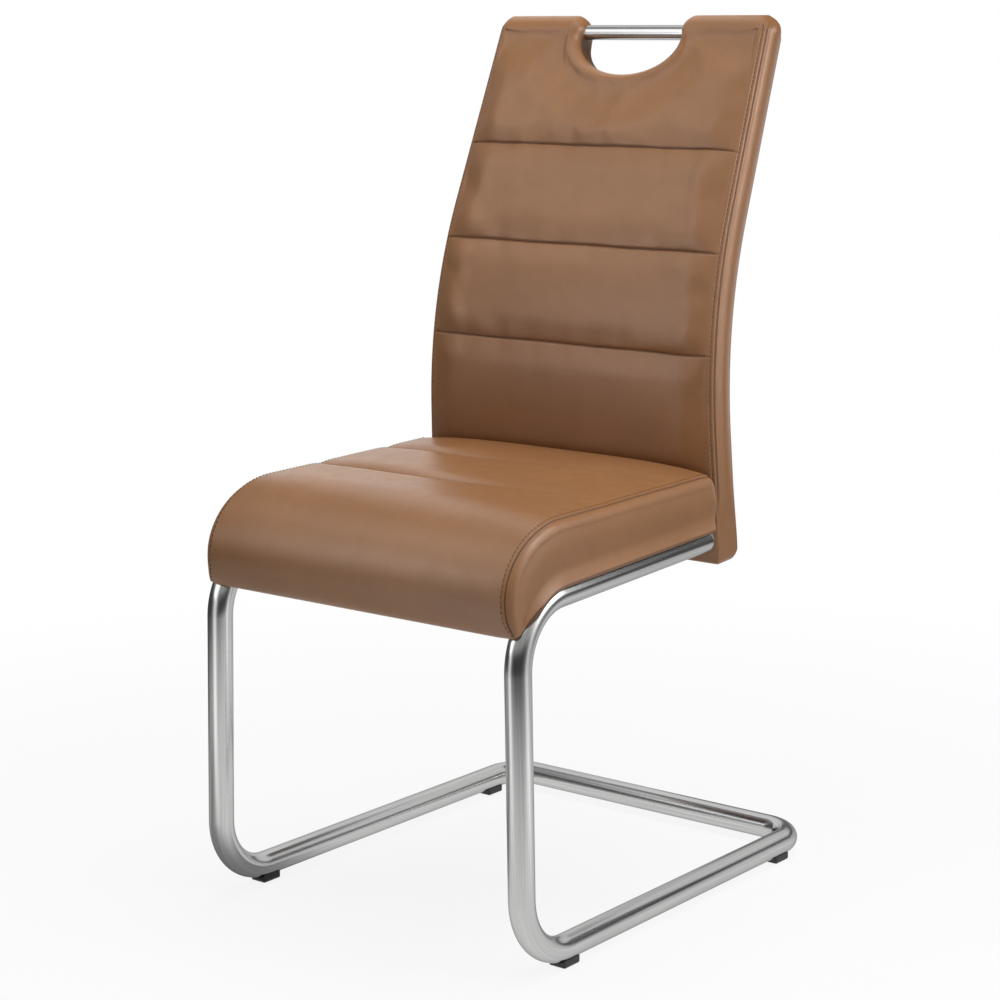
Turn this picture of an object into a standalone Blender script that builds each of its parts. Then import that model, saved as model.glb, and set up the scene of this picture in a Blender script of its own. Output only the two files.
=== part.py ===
"""Cantilever dining chair: one bent steel tube forms the sled, legs and seat rails.

It carries a padded seat with a rounded nose and a padded S-curved back whose front is sewn
into cross channels. A steel grip bar crosses a cut-out at the top of the back.
Units are metres and +Z is up. The sitter faces -Y and the floor is z = 0. Pieces are drawn
with the front legs' axis at y = 0, then an empty shifts them all so that the origin lies
under the middle of the chair.
"""

import math

import bmesh
import bpy
from mathutils import Matrix, Vector
from mathutils.geometry import intersect_line_line

# Clearances
GAP = 0.0003
SEAT_EASE = 0.0006
COVER_EASE = 0.0008

# Sled tube
TUBE_D = 0.028
TUBE_WALL = 0.002
RUNNER_HALF = 0.2115
RAIL_HALF = 0.2035
RUNNER_LENGTH = 0.534
RAIL_HEIGHT = 0.3885
RAIL_SLOPE = math.radians(2.75)
FRONT_BEND_R = 0.070
REAR_BEND_R = 0.040
FOOT_HEIGHT = 0.005
RAIL_SETBACK = 0.014

# Glides and rail plugs
GLIDE_LENGTH = 0.027
GLIDE_WIDTH = 0.021
GLIDE_GRIP = 0.005
GLIDE_EDGE = 0.002
GLIDE_PEG_R = 0.004
GLIDE_PEG_TOP = 0.007
GLIDE_FRONT = 0.071
GLIDE_REAR_INSET = 0.051
PLUG_DEPTH = 0.016
PLUG_DOME = 0.005

# Seat
SEAT_DEPTH = 0.346
SEAT_RISE_FRONT = 0.0805
SEAT_RISE_REAR = 0.0845
SEAT_SEAM_HALF = 0.2045
SEAT_HEM_HALF = 0.2085
SEAT_SIDE_BULGE = 0.005
SEAT_REAR_BULGE = 0.006
SEAT_CROWN = 0.007
SEAT_CHANNELS = (0.070, 0.175)
SEAT_CHANNEL_HALF = 0.014
SEAT_CHANNEL_DEPTH = 0.004
NOSE_OVERHANG = 0.020
NOSE_DEPTH = 0.095
NOSE_DROP = 0.075
TUCK_DEPTH = 0.020
TUCK_DROP = 0.038
TUCK_ANGLE = math.radians(64)
HEM_ANGLE = math.radians(59)
HEM_ROLL = 0.03
COVER_T = 0.0014
SEAT_BOARD_T = 0.010
DUST_T = 0.001
SEAT_BOARD_WRAP = 0.55
DUST_WRAP = 0.90
FOAM_WRAP = 0.90
FOAM_STEP = 0.02

# Back
BACK_GAP = 0.016
BACK_DROP = 0.0175
BACK_LENGTH = 0.611
BACK_LOW_RUN = 0.141
BACK_LEAN_LOW = math.radians(-3.7)
BACK_LEAN = math.radians(21.5)
BACK_BEND_R = 0.565
BACK_T = 0.0395
BACK_HALF_LOW = 0.202
BACK_HALF_TOP = 0.181
BACK_SIDE_BULGE = 0.003
BACK_TOP_RISE = 0.0115
BACK_CORNER_R = 0.012
BACK_HEEL_R = 0.022
BACK_SEAMS = (0.231, 0.343, 0.459)
BACK_PAD_START = 0.088
BACK_SEAM_RISE = 0.004
BACK_PANEL_RISE = 0.006
BACK_THIN_TOP = 0.105
BACK_THIN_FLAT = 0.035
BACK_SEW_DEPTH = 0.0075
BACK_BOARD_T = 0.008
BACK_BOARD_LOW = 0.026
BACK_BOARD_TOP = 0.003
BACK_BOARD_CORNER_R = 0.024

# Grip cut-out and bar
NOTCH_HALF = 0.071
NOTCH_BOTTOM = 0.063
NOTCH_STRAIGHT = 0.022
NOTCH_SHOULDER_R = 0.010
BAR_D = 0.017
BAR_WALL = 0.0015
BAR_DROP = 0.0075
BAR_EMBED = 0.026
DOWEL_LENGTH = 0.022
GRIP_SCREW_D = 0.005
GRIP_SCREW_HEAD_D = 0.009
GRIP_SCREW_HEAD_H = 0.0025

# Straps, brackets and bolts
STRAP_WIDTH = 0.030
STRAP_T = 0.005
STRAP_FRONT = 0.105
STRAP_CLEAR = 0.026398918
STRAP_BOLT_X = 0.140
BRACKET_X = 0.105
BRACKET_WIDTH = 0.040
BRACKET_T = 0.005
BRACKET_BEND_R = 0.012
BRACKET_FOOT = 0.120
BRACKET_TOP = 0.112
BRACKET_SEAT_BOLTS = (0.035, 0.090)
BRACKET_BACK_BOLTS = (0.066, 0.096)
BOLT_D = 0.006
BOLT_HEAD_D = 0.011
BOLT_HEAD_H = 0.004
NUT_FLANGE_D = 0.018
NUT_FLANGE_T = 0.0015
NUT_BARREL_D = 0.008
NUT_BARREL_L = 0.0065

# Facets
TUBE_BEVEL = 6
BEND_STEP = math.radians(15)
ROUND_STEPS = 20
SMALL_STEPS = 8

# Worked-out values
TUBE_R = TUBE_D / 2
RUNNER_Z = FOOT_HEIGHT + TUBE_R
NOSE_Y = NOSE_DEPTH - NOSE_OVERHANG
SEAT_RUN = SEAT_DEPTH - NOSE_Y
SEAT_UNDER = TUBE_R + SEAT_EASE
SEAT_BOARD_UNDER = SEAT_UNDER + DUST_T + GAP
SEAT_BOARD_TOP = SEAT_BOARD_UNDER + SEAT_BOARD_T
SKIN = COVER_T + COVER_EASE
RAIL_ALONG = Vector((0, math.cos(RAIL_SLOPE), math.sin(RAIL_SLOPE)))
RAIL_UP = Vector((0, -math.sin(RAIL_SLOPE), math.cos(RAIL_SLOPE)))
RAIL_CORNER = Vector((0, 0, RAIL_HEIGHT))
RAIL_TANGENT = FRONT_BEND_R * math.tan((math.pi / 2 - RAIL_SLOPE) / 2)
BEND_CENTRE = RAIL_CORNER + RAIL_ALONG * RAIL_TANGENT - RAIL_UP * FRONT_BEND_R
RAIL_END = (SEAT_DEPTH - RAIL_SETBACK) / math.cos(RAIL_SLOPE)
BRACKET_END = SEAT_DEPTH / math.cos(RAIL_SLOPE)
BRACKET_START = BRACKET_END - BRACKET_FOOT
STRAP_REAR = BRACKET_START - STRAP_CLEAR - STRAP_WIDTH / 2
BACK_FOOT = Vector((0, SEAT_DEPTH + BACK_GAP, RAIL_HEIGHT - BACK_DROP))
BACK_BEND_LENGTH = BACK_BEND_R * (BACK_LEAN - BACK_LEAN_LOW)
BOARD_REAR = BACK_T - SKIN
BOARD_FRONT = BOARD_REAR - BACK_BOARD_T
BAR_R = BAR_D / 2
BAR_CLIMB = BACK_LENGTH - BAR_DROP
BAR_DEPTH = BOARD_FRONT - GAP - BAR_R
SIDES = {"left": -1, "right": 1}


def clear_scene():
    for old in list(bpy.data.objects):
        bpy.data.objects.remove(old, do_unlink=True)


def collection(name):
    made = bpy.data.collections.new(name)
    bpy.context.scene.collection.children.link(made)
    return made


clear_scene()
CHAIR = collection("sled_base_chair")
CUTTERS = collection("cutters")


def material(name, colour, roughness, metallic=0.0):
    made = bpy.data.materials.new(name)
    made.use_nodes = True
    shader = made.node_tree.nodes["Principled BSDF"]
    shader.inputs["Base Color"].default_value = (*colour, 1)
    shader.inputs["Roughness"].default_value = roughness
    shader.inputs["Metallic"].default_value = metallic
    return made


STEEL = material("brushed_steel", (0.56, 0.56, 0.55), 0.30, 1.0)
LEATHER = material("tan_leather", (0.30, 0.163, 0.083), 0.42)
BLACK_PLASTIC = material("black_plastic", (0.015, 0.015, 0.016), 0.50)
BLACK_STEEL = material("black_steel", (0.03, 0.03, 0.032), 0.45, 0.6)
ZINC = material("zinc_steel", (0.45, 0.46, 0.48), 0.40, 1.0)
PLYWOOD = material("plywood", (0.55, 0.38, 0.22), 0.65)
FOAM = material("foam", (0.80, 0.76, 0.62), 0.90)
DUST_CLOTH = material("dust_cloth", (0.02, 0.02, 0.02), 0.95)


def add(name, mesh, surface):
    """Puts a mesh into the chair under its piece's name."""
    made = bpy.data.objects.new(name, mesh)
    mesh.materials.clear()
    mesh.materials.append(surface)
    CHAIR.objects.link(made)
    return made


def add_cutter(name, mesh):
    made = bpy.data.objects.new(name, mesh)
    made.hide_render = True
    made.display_type = "WIRE"
    CUTTERS.objects.link(made)
    return made


def finish_mesh(name, bm, smooth_angle=math.radians(35)):
    bmesh.ops.recalc_face_normals(bm, faces=bm.faces[:])
    if all(edge.is_manifold for edge in bm.edges) and bm.calc_volume(signed=True) < 0:
        bmesh.ops.reverse_faces(bm, faces=bm.faces[:])
    mesh = bpy.data.meshes.new(name)
    bm.to_mesh(mesh)
    bm.free()
    mesh.shade_smooth()
    mesh.set_sharp_from_angle(angle=smooth_angle)
    return mesh


def combine(piece, other, operation="DIFFERENCE"):
    step = piece.modifiers.new(operation.lower() + "_" + other.name, "BOOLEAN")
    step.operation = operation
    step.solver = "EXACT"
    step.object = other


def thicken(piece, thickness, offset):
    step = piece.modifiers.new("wall", "SOLIDIFY")
    step.thickness = thickness
    step.offset = offset
    step.use_even_offset = True


def rounded(corners, radii):
    """Points along a polyline whose inner corners are arcs of the given radii."""
    path = [corners[0]]
    for before, corner, after, radius in zip(corners, corners[1:], corners[2:], radii):
        back = (before - corner).normalized()
        ahead = (after - corner).normalized()
        turn = math.pi - back.angle(ahead)
        centre = corner + (back + ahead).normalized() * radius / math.cos(turn / 2)
        reach = radius * math.tan(turn / 2)
        start = (corner + back * reach - centre).normalized()
        end = (corner + ahead * reach - centre).normalized()
        steps = max(2, math.ceil(turn / BEND_STEP))
        path += [centre + start.slerp(end, k / steps) * radius for k in range(steps + 1)]
    path.append(corners[-1])
    return path


def pipe_mesh(name, path, radius):
    """Open round skin along a path."""
    curve = bpy.data.curves.new(name, "CURVE")
    curve.dimensions = "3D"
    curve.bevel_depth = radius
    curve.bevel_resolution = TUBE_BEVEL
    spline = curve.splines.new("POLY")
    spline.points.add(len(path) - 1)
    for point, place in zip(spline.points, path):
        point.co = (*place, 1)
    guide = bpy.data.objects.new(name, curve)
    CUTTERS.objects.link(guide)
    evaluated = guide.evaluated_get(bpy.context.evaluated_depsgraph_get())
    mesh = bpy.data.meshes.new_from_object(evaluated)
    bpy.data.objects.remove(guide, do_unlink=True)
    bm = bmesh.new()
    bm.from_mesh(mesh)
    bmesh.ops.remove_doubles(bm, verts=bm.verts[:], dist=1e-6)
    bpy.data.meshes.remove(mesh)
    return finish_mesh(name, bm)


def turned(name, profile, steps, place, closed=False):
    """Solid turned about local Z from (radius, height) pairs, then put in place by a matrix."""
    bm = bmesh.new()
    points = [bm.verts.new((radius, 0, height)) for radius, height in profile]
    pairs = list(zip(points, points[1:]))
    if closed:
        pairs.append((points[-1], points[0]))
    edges = [bm.edges.new(pair) for pair in pairs]
    bmesh.ops.spin(
        bm,
        geom=points + edges,
        cent=(0, 0, 0),
        axis=(0, 0, 1),
        angle=math.tau,
        steps=steps,
        use_merge=True,
    )
    bmesh.ops.remove_doubles(bm, verts=bm.verts[:], dist=1e-6)
    bmesh.ops.transform(bm, matrix=place, verts=bm.verts[:])
    return finish_mesh(name, bm)


def rod(name, radius, low, high, steps, place):
    return turned(name, [(0, high), (radius, high), (radius, low), (0, low)], steps, place)


def block(name, size, place, edge=0.0):
    bm = bmesh.new()
    bmesh.ops.create_cube(bm, size=1)
    bmesh.ops.scale(bm, vec=size, verts=bm.verts[:])
    if edge:
        bmesh.ops.bevel(bm, geom=bm.edges[:], offset=edge, segments=2, profile=0.5, affect="EDGES")
    bmesh.ops.transform(bm, matrix=place, verts=bm.verts[:])
    return finish_mesh(name, bm)


def aimed(origin, direction):
    """Matrix that carries local Z onto a direction at an origin."""
    turn = Vector((0, 0, 1)).rotation_difference(direction)
    return Matrix.Translation(origin) @ turn.to_matrix().to_4x4()


def warped(name, columns, rows, layers, place):
    """A block cut at the given values of three parameters, each corner then moved by place()."""
    bm = bmesh.new()
    bmesh.ops.create_cube(bm, size=1)
    spans = (columns, rows, layers)
    middle = Vector([(values[0] + values[-1]) / 2 for values in spans])
    bmesh.ops.scale(bm, vec=[values[-1] - values[0] for values in spans], verts=bm.verts[:])
    bmesh.ops.translate(bm, vec=middle, verts=bm.verts[:])
    for axis, values in enumerate(spans):
        normal = Vector((0, 0, 0))
        normal[axis] = 1
        for value in values[1:-1]:
            everything = bm.verts[:] + bm.edges[:] + bm.faces[:]
            bmesh.ops.bisect_plane(bm, geom=everything, plane_co=normal * value, plane_no=normal)
    for corner in bm.verts:
        corner.co = place(*corner.co)
    return finish_mesh(name, bm)


def extruded(name, outline, depth, place):
    """Flat closed outline in local XY, filled and given depth both ways along local Z."""
    bm = bmesh.new()
    face = bm.faces.new([bm.verts.new((x, y, -depth)) for x, y in outline])
    walls = bmesh.ops.extrude_face_region(bm, geom=[face])
    top = [item for item in walls["geom"] if isinstance(item, bmesh.types.BMVert)]
    bmesh.ops.translate(bm, vec=(0, 0, 2 * depth), verts=top)
    bmesh.ops.triangulate(bm, faces=[item for item in bm.faces if len(item.verts) > 4])
    bmesh.ops.transform(bm, matrix=place, verts=bm.verts[:])
    return finish_mesh(name, bm)


def strip(name, path, width):
    """Open ribbon: a path in the YZ plane drawn out along X, centred on the path."""
    bm = bmesh.new()
    line = [bm.verts.new(point - Vector((width / 2, 0, 0))) for point in path]
    edges = [bm.edges.new(pair) for pair in zip(line, line[1:])]
    drawn = bmesh.ops.extrude_edge_only(bm, edges=edges)
    far = [item for item in drawn["geom"] if isinstance(item, bmesh.types.BMVert)]
    bmesh.ops.translate(bm, vec=(width, 0, 0), verts=far)
    return finish_mesh(name, bm)


def between(low, high, count):
    return [low + (high - low) * k / count for k in range(count + 1)]


# Lines that the seat and the back are built on


def rail_point(along, lift):
    """Point in the middle plane, along the rail from its front corner, lifted off its axis."""
    return RAIL_CORNER + RAIL_ALONG * along + RAIL_UP * lift


def seat_underside(row, lift):
    """Row 0 and up runs back along the rail; below 0 it is minus the share of the nose's turn."""
    if row >= 0:
        far = SEAT_DEPTH / math.cos(RAIL_SLOPE)
        return rail_point(RAIL_TANGENT + (far - RAIL_TANGENT) * row / SEAT_RUN, lift)
    angle = RAIL_SLOPE - row * HEM_ANGLE
    away = Vector((0, -math.sin(angle), math.cos(angle)))
    return BEND_CENTRE + away * (FRONT_BEND_R + lift)


def seat_seam(row, inset):
    """Side seam's line and its outward direction: flat top, elliptic nose, then a tuck under it."""
    front_z = RAIL_HEIGHT + SEAT_RISE_FRONT
    if row >= 0:
        slope = (SEAT_RISE_REAR - SEAT_RISE_FRONT) / SEAT_RUN
        return Vector((0, NOSE_Y + row, front_z + slope * row - inset)), Vector((0, 0, 1))
    angle = math.pi / 2 + row * (math.pi / 2 + TUCK_ANGLE)
    reach, height, centre = NOSE_DEPTH, NOSE_DROP, NOSE_Y
    if angle < 0:
        reach, height, centre = TUCK_DEPTH, TUCK_DROP, TUCK_DEPTH - NOSE_OVERHANG
    reach -= inset
    height -= inset
    middle = Vector((0, centre, front_z - NOSE_DROP))
    offset = Vector((0, -reach * math.cos(angle), height * math.sin(angle)))
    outward = Vector((0, -height * math.cos(angle), reach * math.sin(angle)))
    return middle + offset, outward.normalized()


def seat_swell(across, row):
    """Crown of the seat's top above its side seams, drawn in along the sewn channels."""
    if row < 0:
        return SEAT_CROWN * (1 - across**4) * (1 + row) ** 1.5
    drawn = sum(max(0, 1 - abs(row - seam) / SEAT_CHANNEL_HALF) ** 2 for seam in SEAT_CHANNELS)
    return SEAT_CROWN * (1 - across**4) - SEAT_CHANNEL_DEPTH * drawn * (1 - across**6)


def over_board(row):
    """Lift of the foam's underside: above the board, and past the board's end above the dust sheet."""
    if row > -SEAT_BOARD_WRAP - 1.5 * FOAM_STEP:
        return SEAT_BOARD_TOP + GAP
    return SEAT_BOARD_UNDER


def seat_point(inset, lift=None):
    """Maps across -1..1, row, and height 0 (underside) to 1 (top) to a point of the cushion.

    A lift, given for each row, raises the underside within one and the same cushion shape.
    """

    def place(across, row, height):
        if lift:
            low = seat_underside(row, SEAT_UNDER)
            away = seat_underside(row, SEAT_UNDER + 1) - low
            floor = (lift(row) - SEAT_UNDER) / (seat_seam(row, inset)[0] - low).dot(away)
            height = floor + (1 - floor) * height
        belly = 4 * height * (1 - height)
        if row > 0:
            row += SEAT_REAR_BULGE * belly * row / SEAT_RUN
        low = seat_underside(row, SEAT_UNDER)
        seam, outward = seat_seam(row, inset)
        half = SEAT_HEM_HALF + (SEAT_SEAM_HALF - SEAT_HEM_HALF) * height
        point = low.lerp(seam, height) + outward * seat_swell(across, row) * height
        point.x = across * (half + SEAT_SIDE_BULGE * belly - inset)
        return point

    return place


def spine(climb):
    """Point on the back's front edge line and the direction from there to the rear."""
    run = min(climb, BACK_LOW_RUN)
    turn = min(max(climb - BACK_LOW_RUN, 0), BACK_BEND_LENGTH) / BACK_BEND_R
    rest = max(climb - BACK_LOW_RUN - BACK_BEND_LENGTH, 0)
    lean = BACK_LEAN_LOW + turn
    depth = math.cos(BACK_LEAN_LOW) - math.cos(lean)
    height = math.sin(lean) - math.sin(BACK_LEAN_LOW)
    y = run * math.sin(BACK_LEAN_LOW) + BACK_BEND_R * depth + rest * math.sin(lean)
    z = run * math.cos(BACK_LEAN_LOW) + BACK_BEND_R * height + rest * math.cos(lean)
    return BACK_FOOT + Vector((0, y, z)), Vector((0, math.cos(lean), -math.sin(lean)))


def quarter(distance, radius):
    """How far a rounded edge falls back when passed by a distance up to its radius."""
    over = min(max(0, distance), radius)
    return radius - math.sqrt(radius**2 - over**2)


def back_half(climb, top, corner):
    """Half width of the back: a straight taper with its top corners rounded."""
    half = BACK_HALF_LOW + (BACK_HALF_TOP - BACK_HALF_LOW) * climb / BACK_LENGTH
    return half - quarter(climb - top + corner, corner)


def back_swell(across, climb):
    """How far the padded front stands out: a belly in each panel, held in by the sewn channels."""
    edges = (BACK_PAD_START, *BACK_SEAMS, BACK_LENGTH)
    panel = max(k for k in range(len(edges) - 1) if edges[k] <= climb or k == 0)
    low, high = edges[panel], edges[panel + 1]
    share = min(max((climb - low) / (high - low), 0), 1)
    low_rise = BACK_SEAM_RISE if panel > 0 else 0
    high_rise = BACK_SEAM_RISE if panel < len(edges) - 2 else 0
    base = low_rise + (high_rise - low_rise) * share
    rise = (base + BACK_PANEL_RISE * math.sqrt(4 * share * (1 - share))) * (1 - across**6)
    thinned = (climb - BACK_LENGTH + BACK_THIN_TOP) / (BACK_THIN_TOP - BACK_THIN_FLAT)
    return rise * (1 - min(max(thinned, 0), 1))


def back_point(inset):
    """Maps across -1..1, climb, and depth 0 (front) to 1 (rear) to a point of the back."""

    def place(across, climb, depth):
        belly = 4 * depth * (1 - depth)
        heel = quarter(depth * BACK_T - BACK_T + BACK_HEEL_R, BACK_HEEL_R)
        span = BACK_LENGTH + BACK_TOP_RISE * belly - heel - 2 * inset
        half = back_half(climb, BACK_LENGTH, BACK_CORNER_R) + BACK_SIDE_BULGE * belly - inset
        fade = max(0, 1 - depth * BACK_T / BOARD_FRONT)
        point, rearward = spine(inset + heel + span * climb / BACK_LENGTH)
        point += rearward * (inset + (BACK_T - 2 * inset) * depth - back_swell(across, climb) * fade)
        point.x = across * half
        return point

    return place


def back_frame(climb, depth):
    """Matrix at a point of the back: local X across, local Y up the back, local Z forwards."""
    point, rearward = spine(climb)
    across = Vector((1, 0, 0))
    turn = Matrix((across, across.cross(rearward), -rearward)).transposed()
    return Matrix.Translation(point + rearward * depth) @ turn.to_4x4()


# Rows and columns of the cushions' grids

SEAT_COLUMNS = (-1, -0.93, -0.75, -0.4, 0, 0.4, 0.75, 0.93, 1)
SEAT_LAYERS = (0, 0.25, 0.5, 0.75, 1)
FOAM_COLUMNS = (-1, -0.85, -0.6, 0, 0.6, 0.85, 1)
NOSE_ROWS = 14
BACK_COLUMNS = (-1, -0.95, -0.85, -0.6, 0, 0.6, 0.85, 0.95, 1)
BACK_SHARES = (0, 0.08, 0.3, 0.7, 0.92)
CORNER_SHARES = (1, 0.6, 0.3, 0.1)


def seat_rows(wrap, rear):
    """Rows from a share of the nose's turn back to the rear, closer at the channels."""
    rows = [-row for row in between(wrap, 0, max(2, round(NOSE_ROWS * wrap)))]
    half = SEAT_CHANNEL_HALF
    for seam in SEAT_CHANNELS:
        rows += [seam - half, seam - half / 2, seam, seam + half / 2, seam + half]
    rows += [sum(SEAT_CHANNELS) / 2, rear]
    return sorted(rows)


def back_rows(low, high):
    """Climbs from low to high, at set shares of each sewn panel and round the top corners."""
    edges = (BACK_PAD_START, *BACK_SEAMS, BACK_LENGTH)
    rows = [a + (b - a) * share for a, b in zip(edges, edges[1:]) for share in BACK_SHARES]
    rows = [row for row in rows if row < BACK_LENGTH - BACK_CORNER_R - GAP]
    rows += [BACK_LENGTH - BACK_CORNER_R * share for share in CORNER_SHARES]
    inner = [row for row in rows if low + BACK_CORNER_R / 10 < row < high - BACK_CORNER_R / 20]
    return [low, *inner, high]


# Fastenings shared by straps and brackets


def fasten(name, head, plates, board, grip):
    """A bolt from a head seat through plates into a tee nut flush with the board's far face."""
    shank_r = BOLT_D / 2
    barrel_r = NUT_BARREL_D / 2
    flange = grip - NUT_FLANGE_T
    bolt = [(0, grip - GAP), (shank_r, grip - GAP), (shank_r, -GAP)]
    bolt += [(BOLT_HEAD_D / 2, -GAP), (BOLT_HEAD_D / 2, -BOLT_HEAD_H), (0, -BOLT_HEAD_H)]
    add("bolt_" + name, turned("bolt_" + name, bolt, SMALL_STEPS, head), ZINC)
    nut = [(shank_r + GAP, grip), (NUT_FLANGE_D / 2, grip), (NUT_FLANGE_D / 2, flange)]
    nut += [(barrel_r, flange), (barrel_r, flange - NUT_BARREL_L)]
    nut += [(shank_r + GAP, flange - NUT_BARREL_L)]
    nut_name = "tee_nut_" + name
    add(nut_name, turned(nut_name, nut, SMALL_STEPS, head, closed=True), ZINC)
    hole = rod("hole_" + name, shank_r + GAP, -grip, 2 * grip, SMALL_STEPS, head)
    hole = add_cutter("hole_" + name, hole)
    for plate in plates:
        combine(plate, hole)
    socket_r = barrel_r + GAP
    recess_r = NUT_FLANGE_D / 2 + GAP
    socket = [(0, 2 * grip), (recess_r, 2 * grip), (recess_r, flange - GAP)]
    socket += [(socket_r, flange - GAP), (socket_r, -grip), (0, -grip)]
    socket = turned("socket_" + name, socket, SMALL_STEPS, head)
    combine(board, add_cutter("socket_" + name, socket))


def sled():
    """The bent tube: rail, leg, runner, rear crossbar and back again, hollow and open-ended."""
    half = [
        rail_point(RAIL_END, 0) + Vector((RAIL_HALF, 0, 0)),
        RAIL_CORNER + Vector((RAIL_HALF, 0, 0)),
        Vector((RUNNER_HALF, 0, RUNNER_Z)),
        Vector((RUNNER_HALF, RUNNER_LENGTH, RUNNER_Z)),
    ]
    other = [Vector((-point.x, point.y, point.z)) for point in reversed(half)]
    bends = [FRONT_BEND_R, FRONT_BEND_R, REAR_BEND_R]
    path = rounded(half + other, bends + bends[::-1])
    tube = add("sled_tube", pipe_mesh("sled_tube", path, TUBE_R), STEEL)
    thicken(tube, TUBE_WALL, -1)
    return tube


def rail_plugs():
    """Domed plugs in the rails' rear ends."""
    spigot = TUBE_R - TUBE_WALL - GAP
    dome = [(TUBE_R * math.cos(a), GAP + PLUG_DOME * math.sin(a)) for a in between(0, math.pi / 2, 4)]
    profile = [(0, dome[-1][1])] + dome[-2::-1]
    profile += [(spigot, GAP), (spigot, -PLUG_DEPTH), (0, -PLUG_DEPTH)]
    for side, sign in SIDES.items():
        end = rail_point(RAIL_END, 0) + Vector((sign * RAIL_HALF, 0, 0))
        name = "rail_plug_" + side
        add(name, turned(name, profile, ROUND_STEPS, aimed(end, RAIL_ALONG)), STEEL)


def glides(tube):
    """Moulded blocks that cup the runner from below, each with a peg pushed into the tube."""
    places = {"front": GLIDE_FRONT, "rear": RUNNER_LENGTH - GLIDE_REAR_INSET}
    top = FOOT_HEIGHT + GLIDE_GRIP
    for side, sign in SIDES.items():
        runner = Vector((sign * RUNNER_HALF, RUNNER_LENGTH / 2, RUNNER_Z))
        along = aimed(runner, Vector((0, 1, 0)))
        groove = rod("runner_" + side, TUBE_R + GAP, -RUNNER_LENGTH, RUNNER_LENGTH, ROUND_STEPS, along)
        groove = add_cutter("runner_" + side, groove)
        for end, y in places.items():
            name = "glide_" + end + "_" + side
            spot = Matrix.Translation((sign * RUNNER_HALF, y, 0))
            size = (GLIDE_WIDTH, GLIDE_LENGTH, top)
            body = block(name, size, spot @ Matrix.Translation((0, 0, top / 2)), GLIDE_EDGE)
            glide = add(name, body, BLACK_PLASTIC)
            combine(glide, groove)
            peg_top = FOOT_HEIGHT + GLIDE_PEG_TOP
            peg = rod("peg_" + name, GLIDE_PEG_R, FOOT_HEIGHT / 2, peg_top, SMALL_STEPS, spot)
            combine(glide, add_cutter("peg_" + name, peg), "UNION")
            bore = rod("bore_" + name, GLIDE_PEG_R + GAP, -FOOT_HEIGHT, RUNNER_Z, SMALL_STEPS, spot)
            combine(tube, add_cutter("bore_" + name, bore))


def seat():
    """Cover, foam, bent board and dust sheet of the seat. Returns the two that bolts pass."""
    outer = seat_rows(1, SEAT_RUN)
    cover = warped("seat_cover", SEAT_COLUMNS, outer, SEAT_LAYERS, seat_point(0))
    cover = add("seat_cover", cover, LEATHER)
    inner = seat_rows(1 - HEM_ROLL, SEAT_RUN - COVER_T)
    layers = (-SEAT_LAYERS[1], *SEAT_LAYERS)
    hollow = warped("seat_cover_inside", SEAT_COLUMNS, inner, layers, seat_point(COVER_T))
    combine(cover, add_cutter("seat_cover_inside", hollow))

    step = [-SEAT_BOARD_WRAP - FOAM_STEP, -SEAT_BOARD_WRAP - 2 * FOAM_STEP]
    padded = sorted(seat_rows(FOAM_WRAP, SEAT_RUN - SKIN) + step)
    foam = warped("seat_foam", FOAM_COLUMNS, padded, SEAT_LAYERS, seat_point(SKIN, over_board))
    add("seat_foam", foam, FOAM)

    half = SEAT_HEM_HALF - SKIN

    def sheet(name, wrap, low, high, surface):
        def place(across, row, lift):
            return seat_underside(row, lift) + Vector((across * half, 0, 0))

        rows = [row for row in seat_rows(wrap, SEAT_RUN - SKIN) if row <= 0]
        return add(name, warped(name, (-1, 1), [*rows, SEAT_RUN - SKIN], (low, high), place), surface)

    board = sheet("seat_board", SEAT_BOARD_WRAP, SEAT_BOARD_UNDER, SEAT_BOARD_TOP, PLYWOOD)
    dust = sheet("seat_dust_cover", DUST_WRAP, SEAT_UNDER, SEAT_UNDER + DUST_T, DUST_CLOTH)
    return board, dust


def straps(board, dust):
    """Two flat bars welded between the rails, each bolted up into the seat board."""
    saddles = []
    for side, sign in SIDES.items():
        start = rail_point(0, 0) + Vector((sign * RAIL_HALF, 0, 0))
        saddle = rod("rail_" + side, TUBE_R + GAP, 0, RAIL_END, ROUND_STEPS, aimed(start, RAIL_ALONG))
        saddles.append(add_cutter("rail_" + side, saddle))
    tilt = Matrix.Rotation(RAIL_SLOPE, 4, "X")
    for end, along in {"front": STRAP_FRONT, "rear": STRAP_REAR}.items():
        middle = Matrix.Translation(rail_point(along, TUBE_R - STRAP_T / 2)) @ tilt
        name = "cross_strap_" + end
        strap = add(name, block(name, (2 * RAIL_HALF, STRAP_WIDTH, STRAP_T), middle), BLACK_STEEL)
        for saddle in saddles:
            combine(strap, saddle)
        for side, sign in SIDES.items():
            head = rail_point(along, TUBE_R - STRAP_T) + Vector((sign * STRAP_BOLT_X, 0, 0))
            grip = SEAT_BOARD_TOP - TUBE_R + STRAP_T
            fasten("strap_" + end + "_" + side, aimed(head, RAIL_UP), (strap, dust), board, grip)


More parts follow.
